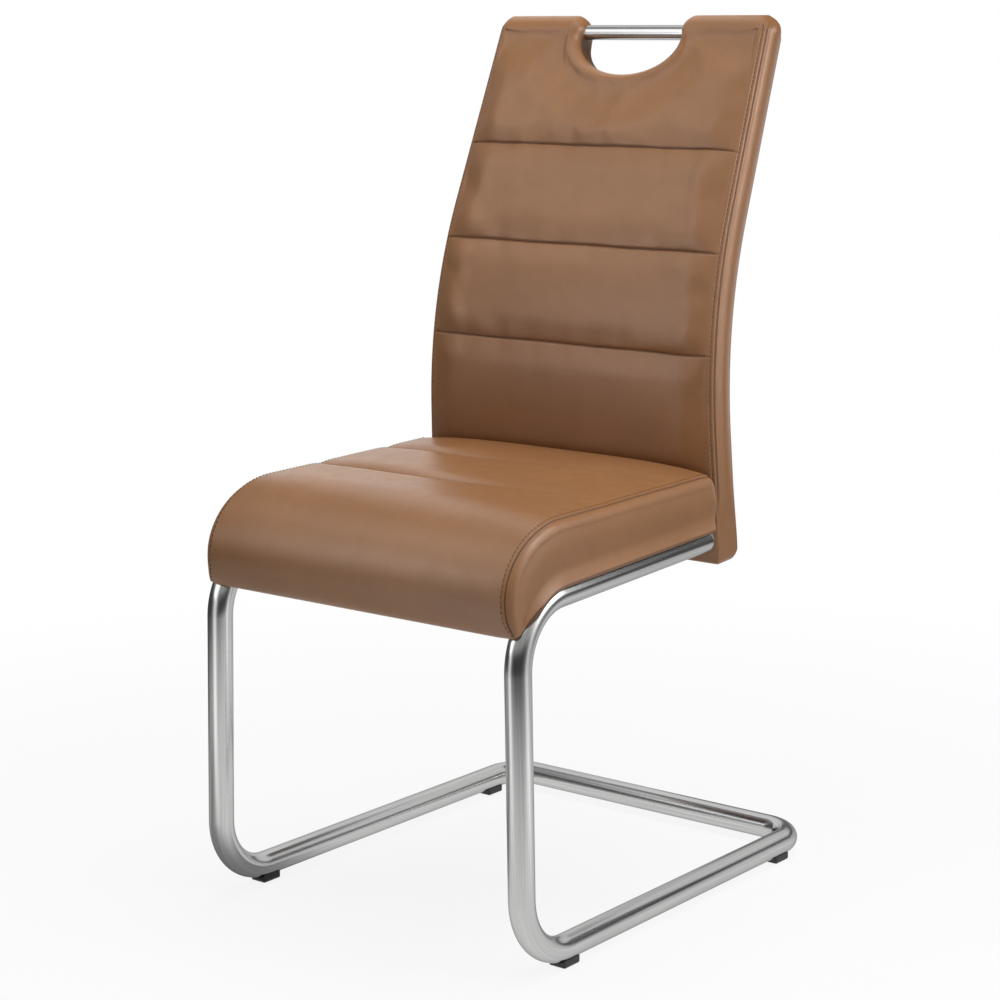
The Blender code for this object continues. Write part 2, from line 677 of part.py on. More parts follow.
def back():
    """Front and rear covers, foam, bent board and cut-out lining of the back."""
    sew = BACK_SEW_DEPTH / BACK_T
    seam_gap = GAP / BACK_T
    edge = (0, sew / 2, sew)
    rest = [sew + seam_gap + (1 - sew - seam_gap) * share for share in (0, 0.3, 0.6, 0.85, 1)]
    rows = back_rows(0, BACK_LENGTH)
    outside = back_point(0)
    inside = back_point(COVER_T)

    front = add("back_cover_front", warped("back_cover_front", BACK_COLUMNS, rows, edge, outside), LEATHER)
    hollow = warped("front_cover_inside", BACK_COLUMNS, rows, (*edge, 1.5 * sew), inside)
    combine(front, add_cutter("front_cover_inside", hollow))

    plain = (-1, 0, 1)
    rear = add("back_cover_rear", warped("back_cover_rear", plain, rows, rest, outside), LEATHER)
    hollow = warped("rear_cover_inside", plain, rows, (sew / 2, *rest), inside)
    combine(rear, add_cutter("rear_cover_inside", hollow))

    foam_rear = (BOARD_FRONT - GAP - SKIN) / (BACK_T - 2 * SKIN)
    foam_layers = between(0, foam_rear, 2)
    foam = warped("back_foam", FOAM_COLUMNS, rows, foam_layers, back_point(SKIN))
    foam = add("back_foam", foam, FOAM)

    board_top = BACK_LENGTH - BACK_BOARD_TOP

    def sheet(across, climb, depth):
        point, rearward = spine(climb)
        point += rearward * depth
        point.x = across * (back_half(climb, board_top, BACK_BOARD_CORNER_R) - SKIN)
        return point

    board_rows = back_rows(BACK_BOARD_LOW, board_top)
    board = warped("back_board", plain, board_rows, (BOARD_FRONT, BOARD_REAR), sheet)
    board = add("back_board", board, PLYWOOD)
    return front, rear, foam, board, warped("notch_lining", BACK_COLUMNS, rows, (*edge, *rest), outside)


def notch_outline(grow):
    """Cut-out seen from the front: an elliptic floor, straight sides and flared shoulders."""
    half = NOTCH_HALF + grow
    floor = NOTCH_BOTTOM - NOTCH_STRAIGHT + grow
    angles = between(0, math.pi, 20)
    points = [(half * math.cos(a), -NOTCH_STRAIGHT - floor * math.sin(a)) for a in angles]
    flare = NOTCH_SHOULDER_R - grow
    crest = BACK_TOP_RISE - grow
    turns = between(0, math.pi / 2, 4)
    left = [(-half - flare * (1 - math.cos(t)), crest - flare * (1 - math.sin(t))) for t in turns]
    over = (-half - flare, crest + BACK_T)
    points += [*left, over]
    points += [(-x, y) for x, y in [over, *left[::-1]]]
    return points


def grip(front, rear, foam, board, whole):
    """Cut-out through the back, its lining, and the bar across it with dowels and screws."""
    top = back_frame(BACK_LENGTH, BACK_T / 2)
    cut = add_cutter("notch", extruded("notch", notch_outline(COVER_T + GAP), BACK_T, top))
    for piece in (front, rear, foam, board):
        combine(piece, cut)
    lining = add("notch_lining", whole, LEATHER)
    opening = extruded("notch_opening", notch_outline(0), 2 * BACK_T, top)
    combine(lining, add_cutter("notch_opening", opening))
    around = extruded("notch_around", notch_outline(COVER_T), BACK_T, top)
    combine(lining, add_cutter("notch_around", around), "INTERSECT")

    half_span = NOTCH_HALF + BAR_EMBED
    across = Matrix.Rotation(math.pi / 2, 4, "Y")
    axis = back_frame(BAR_CLIMB, BAR_DEPTH) @ across
    sleeve = [(BAR_R, half_span), (BAR_R, -half_span), (BAR_R - BAR_WALL, -half_span)]
    sleeve += [(BAR_R - BAR_WALL, half_span)]
    bar = add("grip_bar", turned("grip_bar", sleeve, ROUND_STEPS, axis, closed=True), STEEL)
    room = rod("bar_room", BAR_R + GAP, -half_span - GAP, half_span + GAP, ROUND_STEPS, axis)
    room = add_cutter("bar_room", room)
    for piece in (lining, foam):
        combine(piece, room)

    for side, sign in SIDES.items():
        end = sign * (half_span - DOWEL_LENGTH / 2)
        name = "grip_dowel_" + side
        dowel_r = BAR_R - BAR_WALL - GAP
        inner = axis @ Matrix.Translation((0, 0, end))
        dowel = rod(name, dowel_r, -DOWEL_LENGTH / 2, DOWEL_LENGTH / 2, ROUND_STEPS, inner)
        dowel = add(name, dowel, PLYWOOD)
        seat_depth = BOARD_REAR - BAR_DEPTH - GRIP_SCREW_HEAD_H - GAP
        head = back_frame(BAR_CLIMB, BAR_DEPTH + seat_depth) @ Matrix.Translation((end, 0, 0))
        head = head @ Matrix.Rotation(math.radians(7), 4, "Z")
        name = "grip_screw_" + side
        shank = GRIP_SCREW_D / 2
        cap = GRIP_SCREW_HEAD_D / 2
        tip = seat_depth + dowel_r / 2
        screw = [(0, tip), (shank, tip), (shank, 0), (cap, 0)]
        screw += [(cap, -GRIP_SCREW_HEAD_H), (0, -GRIP_SCREW_HEAD_H)]
        add(name, turned(name, screw, SMALL_STEPS, head), ZINC)
        hole = [(0, tip + GAP), (shank + GAP, tip + GAP), (shank + GAP, GAP), (cap + GAP, GAP)]
        hole += [(cap + GAP, -BACK_T), (0, -BACK_T)]
        hole = add_cutter("bore_" + name, turned("bore_" + name, hole, SMALL_STEPS, head))
        for piece in (bar, dowel, board, foam):
            combine(piece, hole)


def brackets(seat_board, dust, front, foam, back_board):
    """Steel angles bolted under the seat board and, through the front cover, to the back board."""
    foot_lift = TUBE_R - BRACKET_T / 2
    leg_depth = BOARD_FRONT - GAP - BRACKET_T / 2
    low, rearward = spine(0)
    high, _ = spine(BRACKET_TOP)
    low += rearward * leg_depth
    high += rearward * leg_depth
    start = rail_point(BRACKET_START, foot_lift)
    corner = intersect_line_line(start, rail_point(BRACKET_END, foot_lift), low, high)[0]
    path = rounded([start, corner, high], [BRACKET_BEND_R])
    beyond = path[:-1] + [high + (high - low).normalized() * COVER_EASE]
    for side, sign in SIDES.items():
        shift = Vector((sign * BRACKET_X, 0, 0))
        name = "back_bracket_" + side
        plate = add(name, strip(name, [point + shift for point in path], BRACKET_WIDTH), BLACK_STEEL)
        thicken(plate, BRACKET_T, 0)
        wide = BRACKET_WIDTH + 2 * COVER_EASE
        pocket = strip("pocket_" + side, [point + shift for point in beyond], wide)
        pocket = add_cutter("pocket_" + side, pocket)
        thicken(pocket, BRACKET_T + 4 * GAP, 0)
        for piece in (front, foam):
            combine(piece, pocket)
        for k, along in enumerate(BRACKET_SEAT_BOLTS, 1):
            head = rail_point(BRACKET_START + along - BRACKET_WIDTH / 2, TUBE_R - BRACKET_T)
            grip_seat = SEAT_BOARD_TOP - TUBE_R + BRACKET_T
            name = "seat_" + str(k) + "_" + side
            fasten(name, aimed(head + shift, RAIL_UP), (plate, dust), seat_board, grip_seat)
        for k, climb in enumerate(BRACKET_BACK_BOLTS, 1):
            point, rearward = spine(climb)
            face = leg_depth - BRACKET_T / 2
            head = aimed(point + rearward * face + shift, rearward)
            name = "back_" + str(k) + "_" + side
            fasten(name, head, (plate,), back_board, BOARD_REAR - face)
            room_r = BOLT_HEAD_D / 2 + COVER_EASE
            room = rod("room_" + name, room_r, -BOLT_HEAD_H - COVER_EASE, BRACKET_T, SMALL_STEPS, head)
            combine(foam, add_cutter("room_" + name, room))


def centre_on_origin():
    """Parents every piece to an empty that brings the middle of the chair's depth over the origin."""
    origin = bpy.data.objects.new("chair_origin", None)
    CHAIR.objects.link(origin)
    bpy.context.view_layer.update()
    graph = bpy.context.evaluated_depsgraph_get()
    pieces = [piece for piece in CHAIR.objects if piece.type == "MESH"]
    corners = [corner for piece in pieces for corner in piece.evaluated_get(graph).bound_box]
    depths = [corner[1] for corner in corners]
    for piece in pieces + list(CUTTERS.objects):
        piece.parent = origin
    origin.location.y = -(min(depths) + max(depths)) / 2
    bpy.context.view_layer.update()


sled_tube = sled()
rail_plugs()
glides(sled_tube)
seat_board, dust_cover = seat()
straps(seat_board, dust_cover)
front_cover, rear_cover, back_foam, back_board, back_whole = back()
grip(front_cover, rear_cover, back_foam, back_board, back_whole)
brackets(seat_board, dust_cover, front_cover, back_foam, back_board)
centre_on_origin()
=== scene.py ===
"""Looks of a cantilever dining chair: brushed steel sled, tan leather seat and channelled back.

Lengths are metres, +Z is up and the sitter faces -Y. Each shape is a grid of points worked out
from two parameters. Sizes repeat those of the solids, but the soft covers are a little fuller.
"""

import math

import bmesh
import bpy
import numpy as np
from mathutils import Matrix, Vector


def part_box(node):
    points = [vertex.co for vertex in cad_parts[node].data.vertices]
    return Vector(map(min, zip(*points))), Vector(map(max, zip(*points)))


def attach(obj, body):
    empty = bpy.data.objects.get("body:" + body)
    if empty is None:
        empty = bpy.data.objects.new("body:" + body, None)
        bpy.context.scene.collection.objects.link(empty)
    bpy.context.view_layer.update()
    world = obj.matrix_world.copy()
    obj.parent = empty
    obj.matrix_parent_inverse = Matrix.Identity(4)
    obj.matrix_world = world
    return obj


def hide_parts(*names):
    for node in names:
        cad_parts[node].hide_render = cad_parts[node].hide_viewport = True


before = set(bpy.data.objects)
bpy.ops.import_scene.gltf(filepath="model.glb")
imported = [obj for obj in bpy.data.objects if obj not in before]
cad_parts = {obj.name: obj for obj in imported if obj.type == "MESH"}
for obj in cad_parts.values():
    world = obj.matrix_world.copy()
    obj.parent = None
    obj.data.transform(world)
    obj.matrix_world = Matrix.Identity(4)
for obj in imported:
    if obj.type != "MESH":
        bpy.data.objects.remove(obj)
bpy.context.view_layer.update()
scene = bpy.context.scene

# Steel tube
TUBE_R = 0.014
RUNNER_HALF = 0.2115
RAIL_HALF = 0.2035
RUNNER_LENGTH = 0.534
RUNNER_Z = 0.019
RAIL_HEIGHT = 0.3885
RAIL_SLOPE = math.radians(2.75)
FRONT_BEND_R = 0.070
REAR_BEND_R = 0.040
RAIL_SETBACK = 0.014
PLUG_DOME = 0.005
PLUG_SEAT = 0.003
PLUG_PROUD = 0.0004
PLUG_CLEARANCE = 0.00015
GLIDE_FRONT = 0.071
TUBE_STEP = 0.03
TUBE_SIDES = 48
BEND_STEPS = 25

# Seat
SEAT_DEPTH = 0.346
SEAT_RISE_FRONT = 0.0805
SEAT_RISE_REAR = 0.0855
SEAT_SEAM_HALF = 0.2045
SEAT_HEM_HALF = 0.2085
SEAT_SKIRT_HALF = 0.2195
SEAT_HEM_LIFT = 0.0098
SKIRT_SHARE = 0.35  # of the side's height, in which it flares to the hem
SKIRT_FADE_NOSE = 0.3  # share of the nose's turn
SKIRT_FADE_REAR = 0.016
SKIRT_END = 0.001
RAIL_SPREAD = 0.0015  # how far the tube leans out under the nose
SEAT_SIDE_BULGE = 0.005
SEAT_REAR_BULGE = 0.004
SEAT_REAR_GROW = 0.006
SEAT_REAR_GROW_RUN = 0.08
SEAT_CROWN = 0.007
SEAT_CHANNELS = (0.070, 0.187)
SEAT_BOW = 0.014
SEAT_BOW_RUN = 0.06
SEAT_BOW_END = 0.015
SEAT_CHANNEL_HALF = 0.010
SEAT_CHANNEL_DEPTH = 0.0045
SEAT_EDGE_R = 0.013
SEAT_REAR_R = 0.013
SEAT_UNDER = 0.0146
SEAT_ROW_STEP = 0.0055
SEAT_COARSE_STEP = 0.0085
NOSE_OVERHANG = 0.020
NOSE_DEPTH = 0.095
NOSE_DROP = 0.075
TUCK_DEPTH = 0.024
TUCK_DROP = 0.040
TUCK_ANGLE = math.radians(64)
HEM_ANGLE = math.radians(59)
DUST_WRAP = 0.90
DUST_T = 0.001
DUST_SAG = 0.0004
SKIN = 0.0022

# Back
BACK_GAP = 0.016
BACK_DROP = 0.0175
BACK_LENGTH = 0.611
BACK_LOW_RUN = 0.141
BACK_LEAN_LOW = math.radians(-3.7)
BACK_LEAN = math.radians(21.5)
BACK_BEND_R = 0.565
BACK_T = 0.0395
BACK_HALF_LOW = 0.202
BACK_HALF_TOP = 0.181
BACK_BULGE = (0.003, 0.0115, 0.003, 0, 0)
BACK_PROUD = 0.004
BACK_CORNER_R = 0.010
BACK_FOOT_R = 0.005
BACK_HEEL_R = 0.014
BACK_SEAMS = (0.231, 0.343, 0.459)
BACK_PAD_START = 0.088
BACK_SEAM_RISE = 0.004
BACK_PANEL_RISE = 0.006
BACK_EDGE_EASE = 0.036
BACK_TOP_EASE = 0.065
BACK_PAD_EASE = 0.045
BACK_PILLOW_EASE = 0.032
BACK_REAR_RISE = 0.0022
BACK_REAR_EASE = 0.09
BACK_HEEL_REACH = 0.09
BACK_GATHER = 0.0003
BACK_WANDER = 0.0003
BACK_ROWS_ABOVE = 0.0115  # past the upper seam, where the regular rows end
BACK_FRONT_RIM = (0.010, 0.011, 0.010, 0.011, 0.003)  # sides, top, into the cut-out, cut-out, foot
BACK_REAR_RIM = (0.006, 0.008, 0.006, 0.004, 0.003)
NOTCH_HALF = 0.071
NOTCH_BOTTOM = 0.0615
NOTCH_STRAIGHT = 0.018
NOTCH_SHOULDER_R = 0.011
BAR_R = 0.0085
BAR_HALF = 0.097
BAR_DROP = 0.0075
BAR_DEPTH = 0.0205
BAR_SIDES = 40

# Sewing
STITCH_PITCH = 0.0054
STITCH_LENGTH = 0.0038
STITCH_R = 0.00045
STITCH_START = 0.07
SEAT_SEAM_GIRTH = 1.3
SEAT_STITCH_GIRTH = 1.08
SEAM_HALF = 0.0011
SEAM_DEPTH = 0.0014
CLOSE = np.array([0.0006, 0.0012, 0.002, 0.0032, 0.005, 0.008])  # rows beside a seam
STITCH_TURN = math.radians(33)
SEAM_TURN = math.radians(66)
LINING_TURN = math.radians(76)
RIM_TURNS = (0, 7, 14, 20, 25, 28, 31, 33, 35, 38, 42, 47, 52, 56, 60, 63, 66, 69, 73, 81, 90)

# Settling of the covers
CLOTH = {
    "quality": 6, "mass": 0.35, "air_damping": 4, "vertex_group_mass": "held",
    "tension_stiffness": 30, "compression_stiffness": 30, "shear_stiffness": 15, "bending_stiffness": 8,
    "tension_damping": 12, "compression_damping": 12, "shear_damping": 12,
    "use_pressure": True, "uniform_pressure_force": 5.0, "shrink_min": -0.009,
}
CLOTH_FRAMES = 20
CLOTH_LIMIT = 0.003

# Worked-out values
NOSE_Y = NOSE_DEPTH - NOSE_OVERHANG
SEAT_RUN = SEAT_DEPTH - NOSE_Y
glide_low, glide_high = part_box("glide_front_left")
LEG_Y = (glide_low.y + glide_high.y) / 2 - GLIDE_FRONT
RAIL_ALONG = np.array([math.cos(RAIL_SLOPE), math.sin(RAIL_SLOPE)])
RAIL_UP = np.array([-math.sin(RAIL_SLOPE), math.cos(RAIL_SLOPE)])
RAIL_CORNER = np.array([LEG_Y, RAIL_HEIGHT])
RAIL_TANGENT = FRONT_BEND_R * math.tan((math.pi / 2 - RAIL_SLOPE) / 2)
BEND_CENTRE = RAIL_CORNER + RAIL_ALONG * RAIL_TANGENT - RAIL_UP * FRONT_BEND_R
RAIL_END = (SEAT_DEPTH - RAIL_SETBACK) / math.cos(RAIL_SLOPE)
BACK_BEND_LENGTH = BACK_BEND_R * (BACK_LEAN - BACK_LEAN_LOW)


# --- meshes


def joined(grids):
    """Points, quads and (u, v, seams_and_shade) values of several grids laid one after another.

    Each grid is points of rows x columns x 3, or a stack of such, and values of the same shape.
    A quad joins every point to its neighbours in the next row and column.
    """
    points = [grid.reshape(-1, 3) for grid, _ in grids]
    values = [np.broadcast_to(value, grid.shape).reshape(-1, 3) for grid, value in grids]
    quads = []
    start = 0
    for grid, _ in grids:
        numbers = start + np.arange(grid[..., 0].size).reshape(grid.shape[:-1])
        near, far = numbers[..., :-1, :], numbers[..., 1:, :]
        corners = [near[..., :-1], near[..., 1:], far[..., 1:], far[..., :-1]]
        quads.append(np.stack(corners, axis=-1).reshape(-1, 4))
        start += numbers.size
    return np.concatenate(points), np.concatenate(quads), np.concatenate(values)


def mesh_of(name, points, quads):
    mesh = bpy.data.meshes.new(name)
    mesh.vertices.add(len(points))
    mesh.vertices.foreach_set("co", np.ascontiguousarray(points, np.float32).ravel())
    mesh.loops.add(quads.size)
    mesh.loops.foreach_set("vertex_index", np.ascontiguousarray(quads, np.int32).ravel())
    mesh.polygons.add(len(quads))
    mesh.polygons.foreach_set("loop_start", np.arange(0, quads.size, 4, dtype=np.int32))
    mesh.update(calc_edges=True)
    return mesh


def set_values(mesh, name, values):
    """A value at each point of a mesh, for its material."""
    made = mesh.attributes.new(name, "FLOAT", "POINT")
    made.data.foreach_set("value", np.ascontiguousarray(values, np.float32).ravel())


def placed(name, data):
    """A new object in the scene."""
    made = bpy.data.objects.new(name, data)
    scene.collection.objects.link(made)
    return made


def add_piece(name, grids, finish, smooth=0):
    """One piece from grids whose edges meet, welded and with its faces outwards.

    The grids' values become its UV map and its seams_and_shade value: dark seams and painted shade.
    """
    points, quads, values = joined(grids)
    mesh = mesh_of(name, points, quads)
    laid = mesh.uv_layers.new(name="UVMap")
    laid.data.foreach_set("uv", np.ascontiguousarray(values[quads.ravel(), :2], np.float32).ravel())
    set_values(mesh, "seams_and_shade", values[:, 2])
    shape = bmesh.new()
    shape.from_mesh(mesh)
    bmesh.ops.remove_doubles(shape, verts=shape.verts[:], dist=2e-6)
    bmesh.ops.dissolve_degenerate(shape, edges=shape.edges[:], dist=1e-7)
    bmesh.ops.recalc_face_normals(shape, faces=shape.faces[:])
    if shape.calc_volume(signed=True) < 0:
        bmesh.ops.reverse_faces(shape, faces=shape.faces[:])
    shape.to_mesh(mesh)
    shape.free()
    mesh.shade_smooth()
    mesh.materials.append(finish)
    piece = placed(name, mesh)
    if smooth:
        finer = piece.modifiers.new("finer", "SUBSURF")
        finer.levels = smooth
        finer.render_levels = smooth
    return piece


def fit(piece, slot, *nodes):
    """Says where a piece belongs: under the root body, standing for the nodes given, which are hidden.
    The slot argument is not used.
    """
    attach(piece, "root")
    if nodes:
        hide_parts(*nodes)


def unit(vectors):
    return vectors / np.maximum(np.linalg.norm(vectors, axis=-1, keepdims=True), 1e-12)


def pairs(first, second):
    """Two arrays side by side along a new last axis."""
    return np.stack([first, second], axis=-1)


def swell(share):
    """Half parabola: steepest at 0, level at 1 from 1 on."""
    return 1 - (1 - np.clip(share, 0, 1)) ** 2


def eased(share):
    """Smooth step: level at 0 and from 1 on."""
    part = np.clip(share, 0, 1)
    return part**2 * (3 - 2 * part)


def peak(offset):
    """Bell curve: 1 at 0, 0.37 at 1 and -1."""
    return np.exp(-(offset**2))


def lengths(line):
    """Length along a line up to each of its points."""
    return np.concatenate([[0], np.cumsum(np.linalg.norm(np.diff(line, axis=0), axis=1))])


def around(places, centres, offsets):
    """Sorted places with a cluster of closer ones about each centre."""
    close = (np.asarray(centres)[:, None] + np.concatenate([-offsets[::-1], [0], offsets])).ravel()
    reach = offsets[-1]
    apart = np.abs(np.asarray(places)[:, None] - np.asarray(centres)).min(axis=1)
    return np.unique(np.concatenate([np.asarray(places)[apart > reach * 1.15], close]).round(7))


def bell(wanted, known):
    """Matrix that carries values at known places to wanted ones, each a bell-weighted mean."""
    width = 0.75 * np.gradient(known)
    weight = np.exp(-0.5 * ((wanted[:, None] - known) / width) ** 2) * np.abs(width)
    return weight / weight.sum(axis=1, keepdims=True)


def puff(points, quads, held):
    """How far each point moves when cloth of this shape is blown up a little, held at some points.

    The cloth is cut a little too large, so it settles in soft unevenness. No point moves
    further than the limit.
    """
    mesh = mesh_of("cloth", points, quads)
    cloth = placed("cloth", mesh)
    pins = cloth.vertex_groups.new(name="held")
    pins.add(np.flatnonzero(held).tolist(), 1.0, "REPLACE")
    step = cloth.modifiers.new("cloth", "CLOTH")
    for name, value in CLOTH.items():
        setattr(step.settings, name, value)
    step.settings.effector_weights.gravity = 0
    step.collision_settings.use_collision = False
    step.point_cache.frame_start = 1
    step.point_cache.frame_end = CLOTH_FRAMES
    for number in range(1, CLOTH_FRAMES + 1):
        scene.frame_set(number)
    settled = cloth.evaluated_get(bpy.context.evaluated_depsgraph_get())
    moved = np.empty(len(points) * 3, np.float32)
    settled.data.vertices.foreach_get("co", moved)
    bpy.data.objects.remove(cloth, do_unlink=True)
    bpy.data.meshes.remove(mesh)
    scene.frame_set(1)
    shift = moved.reshape(-1, 3).astype(float) - points
    length = np.linalg.norm(shift, axis=1, keepdims=True)
    return shift * np.minimum(1, CLOTH_LIMIT / np.maximum(length, 1e-9))


# --- finishes


class Socket:
    """A socket in a material. Sums on it add Math nodes, and make() adds any other node."""

    def __init__(self, tree, socket=None):
        self.tree = tree
        self.socket = socket

    def make(self, kind, settings=None, out=0, **inputs):
        """Adds a node: its settings first, then values or links by socket name (spaces as _)."""
        node = self.tree.nodes.new("ShaderNode" + kind)
        for name, value in (settings or {}).items():
            setattr(node, name, value)
        for name, value in inputs.items():
            wanted = [s for s in node.inputs if name in (s.identifier, s.name.replace(" ", "_"))]
            into = next((s for s in wanted if s.enabled), wanted[0])
            if isinstance(value, Socket):
                self.tree.links.new(value.socket, into)
            else:
                into.default_value = value
        return Socket(self.tree, node.outputs[out])

    def maths(self, operation, first, second):
        return self.make("Math", {"operation": operation}, Value=first, Value_001=second)

    def __add__(self, other):
        return self.maths("ADD", self, other)

    __radd__ = __add__

    def __mul__(self, other):
        return self.maths("MULTIPLY", self, other)

    __rmul__ = __mul__

    def above(self, low, high):
        """0 up to low, 1 from high, smooth between."""
        how = {"interpolation_type": "SMOOTHSTEP"}
        return self.make("MapRange", how, Value=self, From_Min=low, From_Max=high)

    def blend(self, first, second):
        """Colour between two, by this share."""
        how = {"data_type": "RGBA"}
        return self.make("Mix", how, 2, Factor_Float=self, A_Color=first, B_Color=second)

    def noise(self, scale, detail=3, rough=0.5):
        return self.make("TexNoise", Vector=self, Scale=scale, Detail=detail, Roughness=rough)

    def stretched(self, scale):
        return self.make("Mapping", Vector=self, Scale=scale)

    def bump(self, strength):
        """Surface direction over heights in metres."""
        return self.make("Bump", Strength=strength, Distance=1.0, Height=self)

    def show(self):
        """Makes this shader the one the material shows."""
        self.tree.links.new(self.socket, self.tree.nodes["Material Output"].inputs["Surface"])


def material(name):
    """A new material and a socket to start from."""
    made = bpy.data.materials.new(name)
    made.use_nodes = True
    return made, Socket(made.node_tree)


def finish(name):
    """A new material: its shader, the piece's own coordinates and its UV map."""
    made, start = material(name)
    shader = made.node_tree.nodes["Principled BSDF"]
    return made, shader, start.make("TexCoord", out=3), start.make("UVMap")


def wire(shader, **inputs):
    """Links what varies over the surface and sets what doesn't, by the shader's socket names."""
    for name, value in inputs.items():
        into = shader.inputs[name.replace("_", " ")]
        if isinstance(value, Socket):
            value.tree.links.new(value.socket, into)
        else:
            into.default_value = value


def tone(red, green, blue):
    return (red, green, blue, 1)


def tan_leather():
    """Coated tan leather: cloudy colour and fine grain cells, darker in the seams and in painted shade,
    both from the seams_and_shade value.
    """
    made, shader, place, _ = finish("tan_leather")
    clouds = place.noise(7, 2)
    mottle = place.noise(55, 4, 0.6)
    speckle = place.noise(900, 2)
    seams_and_shade = place.make("Attribute", {"attribute_name": "seams_and_shade"}, 2)
    base = clouds.above(0.3, 0.7).blend(tone(0.322, 0.145, 0.054), tone(0.280, 0.124, 0.044))
    base = (mottle.above(0.35, 0.75) * 0.35).blend(base, tone(0.243, 0.107, 0.037))
    base = (speckle.above(0.45, 0.75) * 0.22).blend(base, tone(0.367, 0.175, 0.072))
    # dark seam colour, also used for the painted shade at the seat's hem and rear wall
    base = (seams_and_shade * 0.85).blend(base, tone(0.050, 0.022, 0.010))
    warp = place.noise(140, 2)
    cells = place.make("TexVoronoi", {"feature": "DISTANCE_TO_EDGE"}, Vector=place, Scale=820.0)
    grain = cells.above(0.0, 0.22) * 0.00004 + speckle * 0.00003 + warp * 0.00010
    rough = 0.27 + 0.12 * mottle + 0.05 * speckle + 0.25 * seams_and_shade
    wire(shader, Base_Color=base, Roughness=rough, Normal=grain.bump(0.8), Specular_IOR_Level=0.7)
    return made


def brushed_steel():
    """Satin steel brushed along its length: streaks in tone and roughness, with faint grooves."""
    made, shader, place, laid = finish("brushed_steel")
    long_streaks = laid.stretched((900, 5, 1)).noise(1.0, 4, 0.65)
    fine_streaks = laid.stretched((4200, 26, 1)).noise(1.0, 2, 0.6)
    dull = place.noise(9, 2)
    base = long_streaks.above(0.3, 0.7).blend(tone(0.50, 0.50, 0.50), tone(0.64, 0.64, 0.63))
    base = (fine_streaks.above(0.5, 0.8) * 0.35).blend(base, tone(0.40, 0.40, 0.405))
    rough = 0.13 + 0.10 * long_streaks + 0.05 * dull
    wire(shader, Metallic=1.0, Specular_Tint=tone(0.5, 0.5, 0.5))
    wire(shader, Base_Color=base, Roughness=rough, Normal=(fine_streaks * 0.00001).bump(0.4))
    return made


def black_plastic():
    """Moulded black plastic with a fine spark texture."""
    made, shader, place, _ = finish("black_plastic")
    pits = place.noise(1500, 2)
    cloud = place.noise(60, 2)
    base = cloud.blend(tone(0.012, 0.012, 0.013), tone(0.022, 0.022, 0.023))
    wire(shader, Base_Color=base, Roughness=0.42 + 0.2 * pits, Normal=(pits * 0.00005).bump(0.6))
    return made


def speckled(name, noise, span, dark, light, rough, relief=None, **more):
    """A plain finish: one noise sets tone and roughness, a finer one the relief."""
    made, shader, place, _ = finish(name)
    cloud = place.noise(*noise)
    share = cloud.above(*span) if span else cloud
    base = share.blend(tone(*dark), tone(*light))
    wire(shader, Base_Color=base, Roughness=rough[0] + rough[1] * cloud, **more)
    if relief:
        scale, height, strength = relief
        wire(shader, Normal=(place.noise(scale, 2) * height).bump(strength))
    return made


def plywood():
    """Birch plywood: pale grain along the board and thin darker plies through its thickness."""
    made, shader, place, _ = finish("plywood")
    grain = place.stretched((14, 260, 260)).noise(1.0, 4, 0.6)
    bands = {"bands_direction": "Z"}
    plies = place.make("TexWave", bands, 1, Vector=place, Scale=110.0, Distortion=1.5)
    base = grain.above(0.3, 0.7).blend(tone(0.56, 0.40, 0.24), tone(0.42, 0.28, 0.15))
    base = (plies.above(0.6, 0.9) * 0.3).blend(base, tone(0.30, 0.18, 0.09))
    wire(shader, Base_Color=base, Roughness=0.55 + 0.2 * grain, Normal=(grain * 0.0001).bump(0.4))
    return made


def dust_cloth():
    """Black spun-bonded cloth with a tiny pressed point pattern."""
    made, shader, place, _ = finish("dust_cloth")
    fibre = place.stretched((900, 300, 900)).noise(1.0, 4, 0.7)
    points = place.make("TexVoronoi", Vector=place, Scale=480.0, Randomness=0.15)
    pressed = points.above(0.15, 0.4)
    base = (fibre * pressed).blend(tone(0.008, 0.008, 0.009), tone(0.036, 0.036, 0.038))
    relief = (pressed * 0.0001 + fibre * 0.0001).bump(0.6)
    wire(shader, Base_Color=base, Roughness=0.80 + 0.15 * fibre, Normal=relief)
    return made


LEATHER = tan_leather()
STEEL = brushed_steel()
DUST_CLOTH = dust_cloth()
THREAD = speckled(
    "sewing_thread", (2600, 2), (0.3, 0.7), (0.070, 0.036, 0.018), (0.150, 0.082, 0.042), (0.62, 0.15)
)
POWDER_COAT = speckled(
    "black_steel", (25, 4, 0.6), (0.45, 0.75), (0.020, 0.020, 0.021), (0.042, 0.041, 0.040),
    (0.38, 0.2), (700, 0.00008, 0.5),
)
ZINC = speckled(
    "zinc_steel", (320, 3), (0.3, 0.7), (0.42, 0.43, 0.45), (0.56, 0.57, 0.59),
    (0.28, 0.2), (1600, 0.00003, 0.4), Metallic=1.0,
)
FOAM = speckled("foam", (900, 3), None, (0.62, 0.56, 0.40), (0.80, 0.76, 0.60), (0.85, 0.1))
FINISHES = {
    "brushed_steel": STEEL,
    "tan_leather": LEATHER,
    "black_plastic": black_plastic(),
    "black_steel": POWDER_COAT,
    "zinc_steel": ZINC,
    "plywood": plywood(),
    "foam": FOAM,
    "dust_cloth": DUST_CLOTH,
}


# --- steel


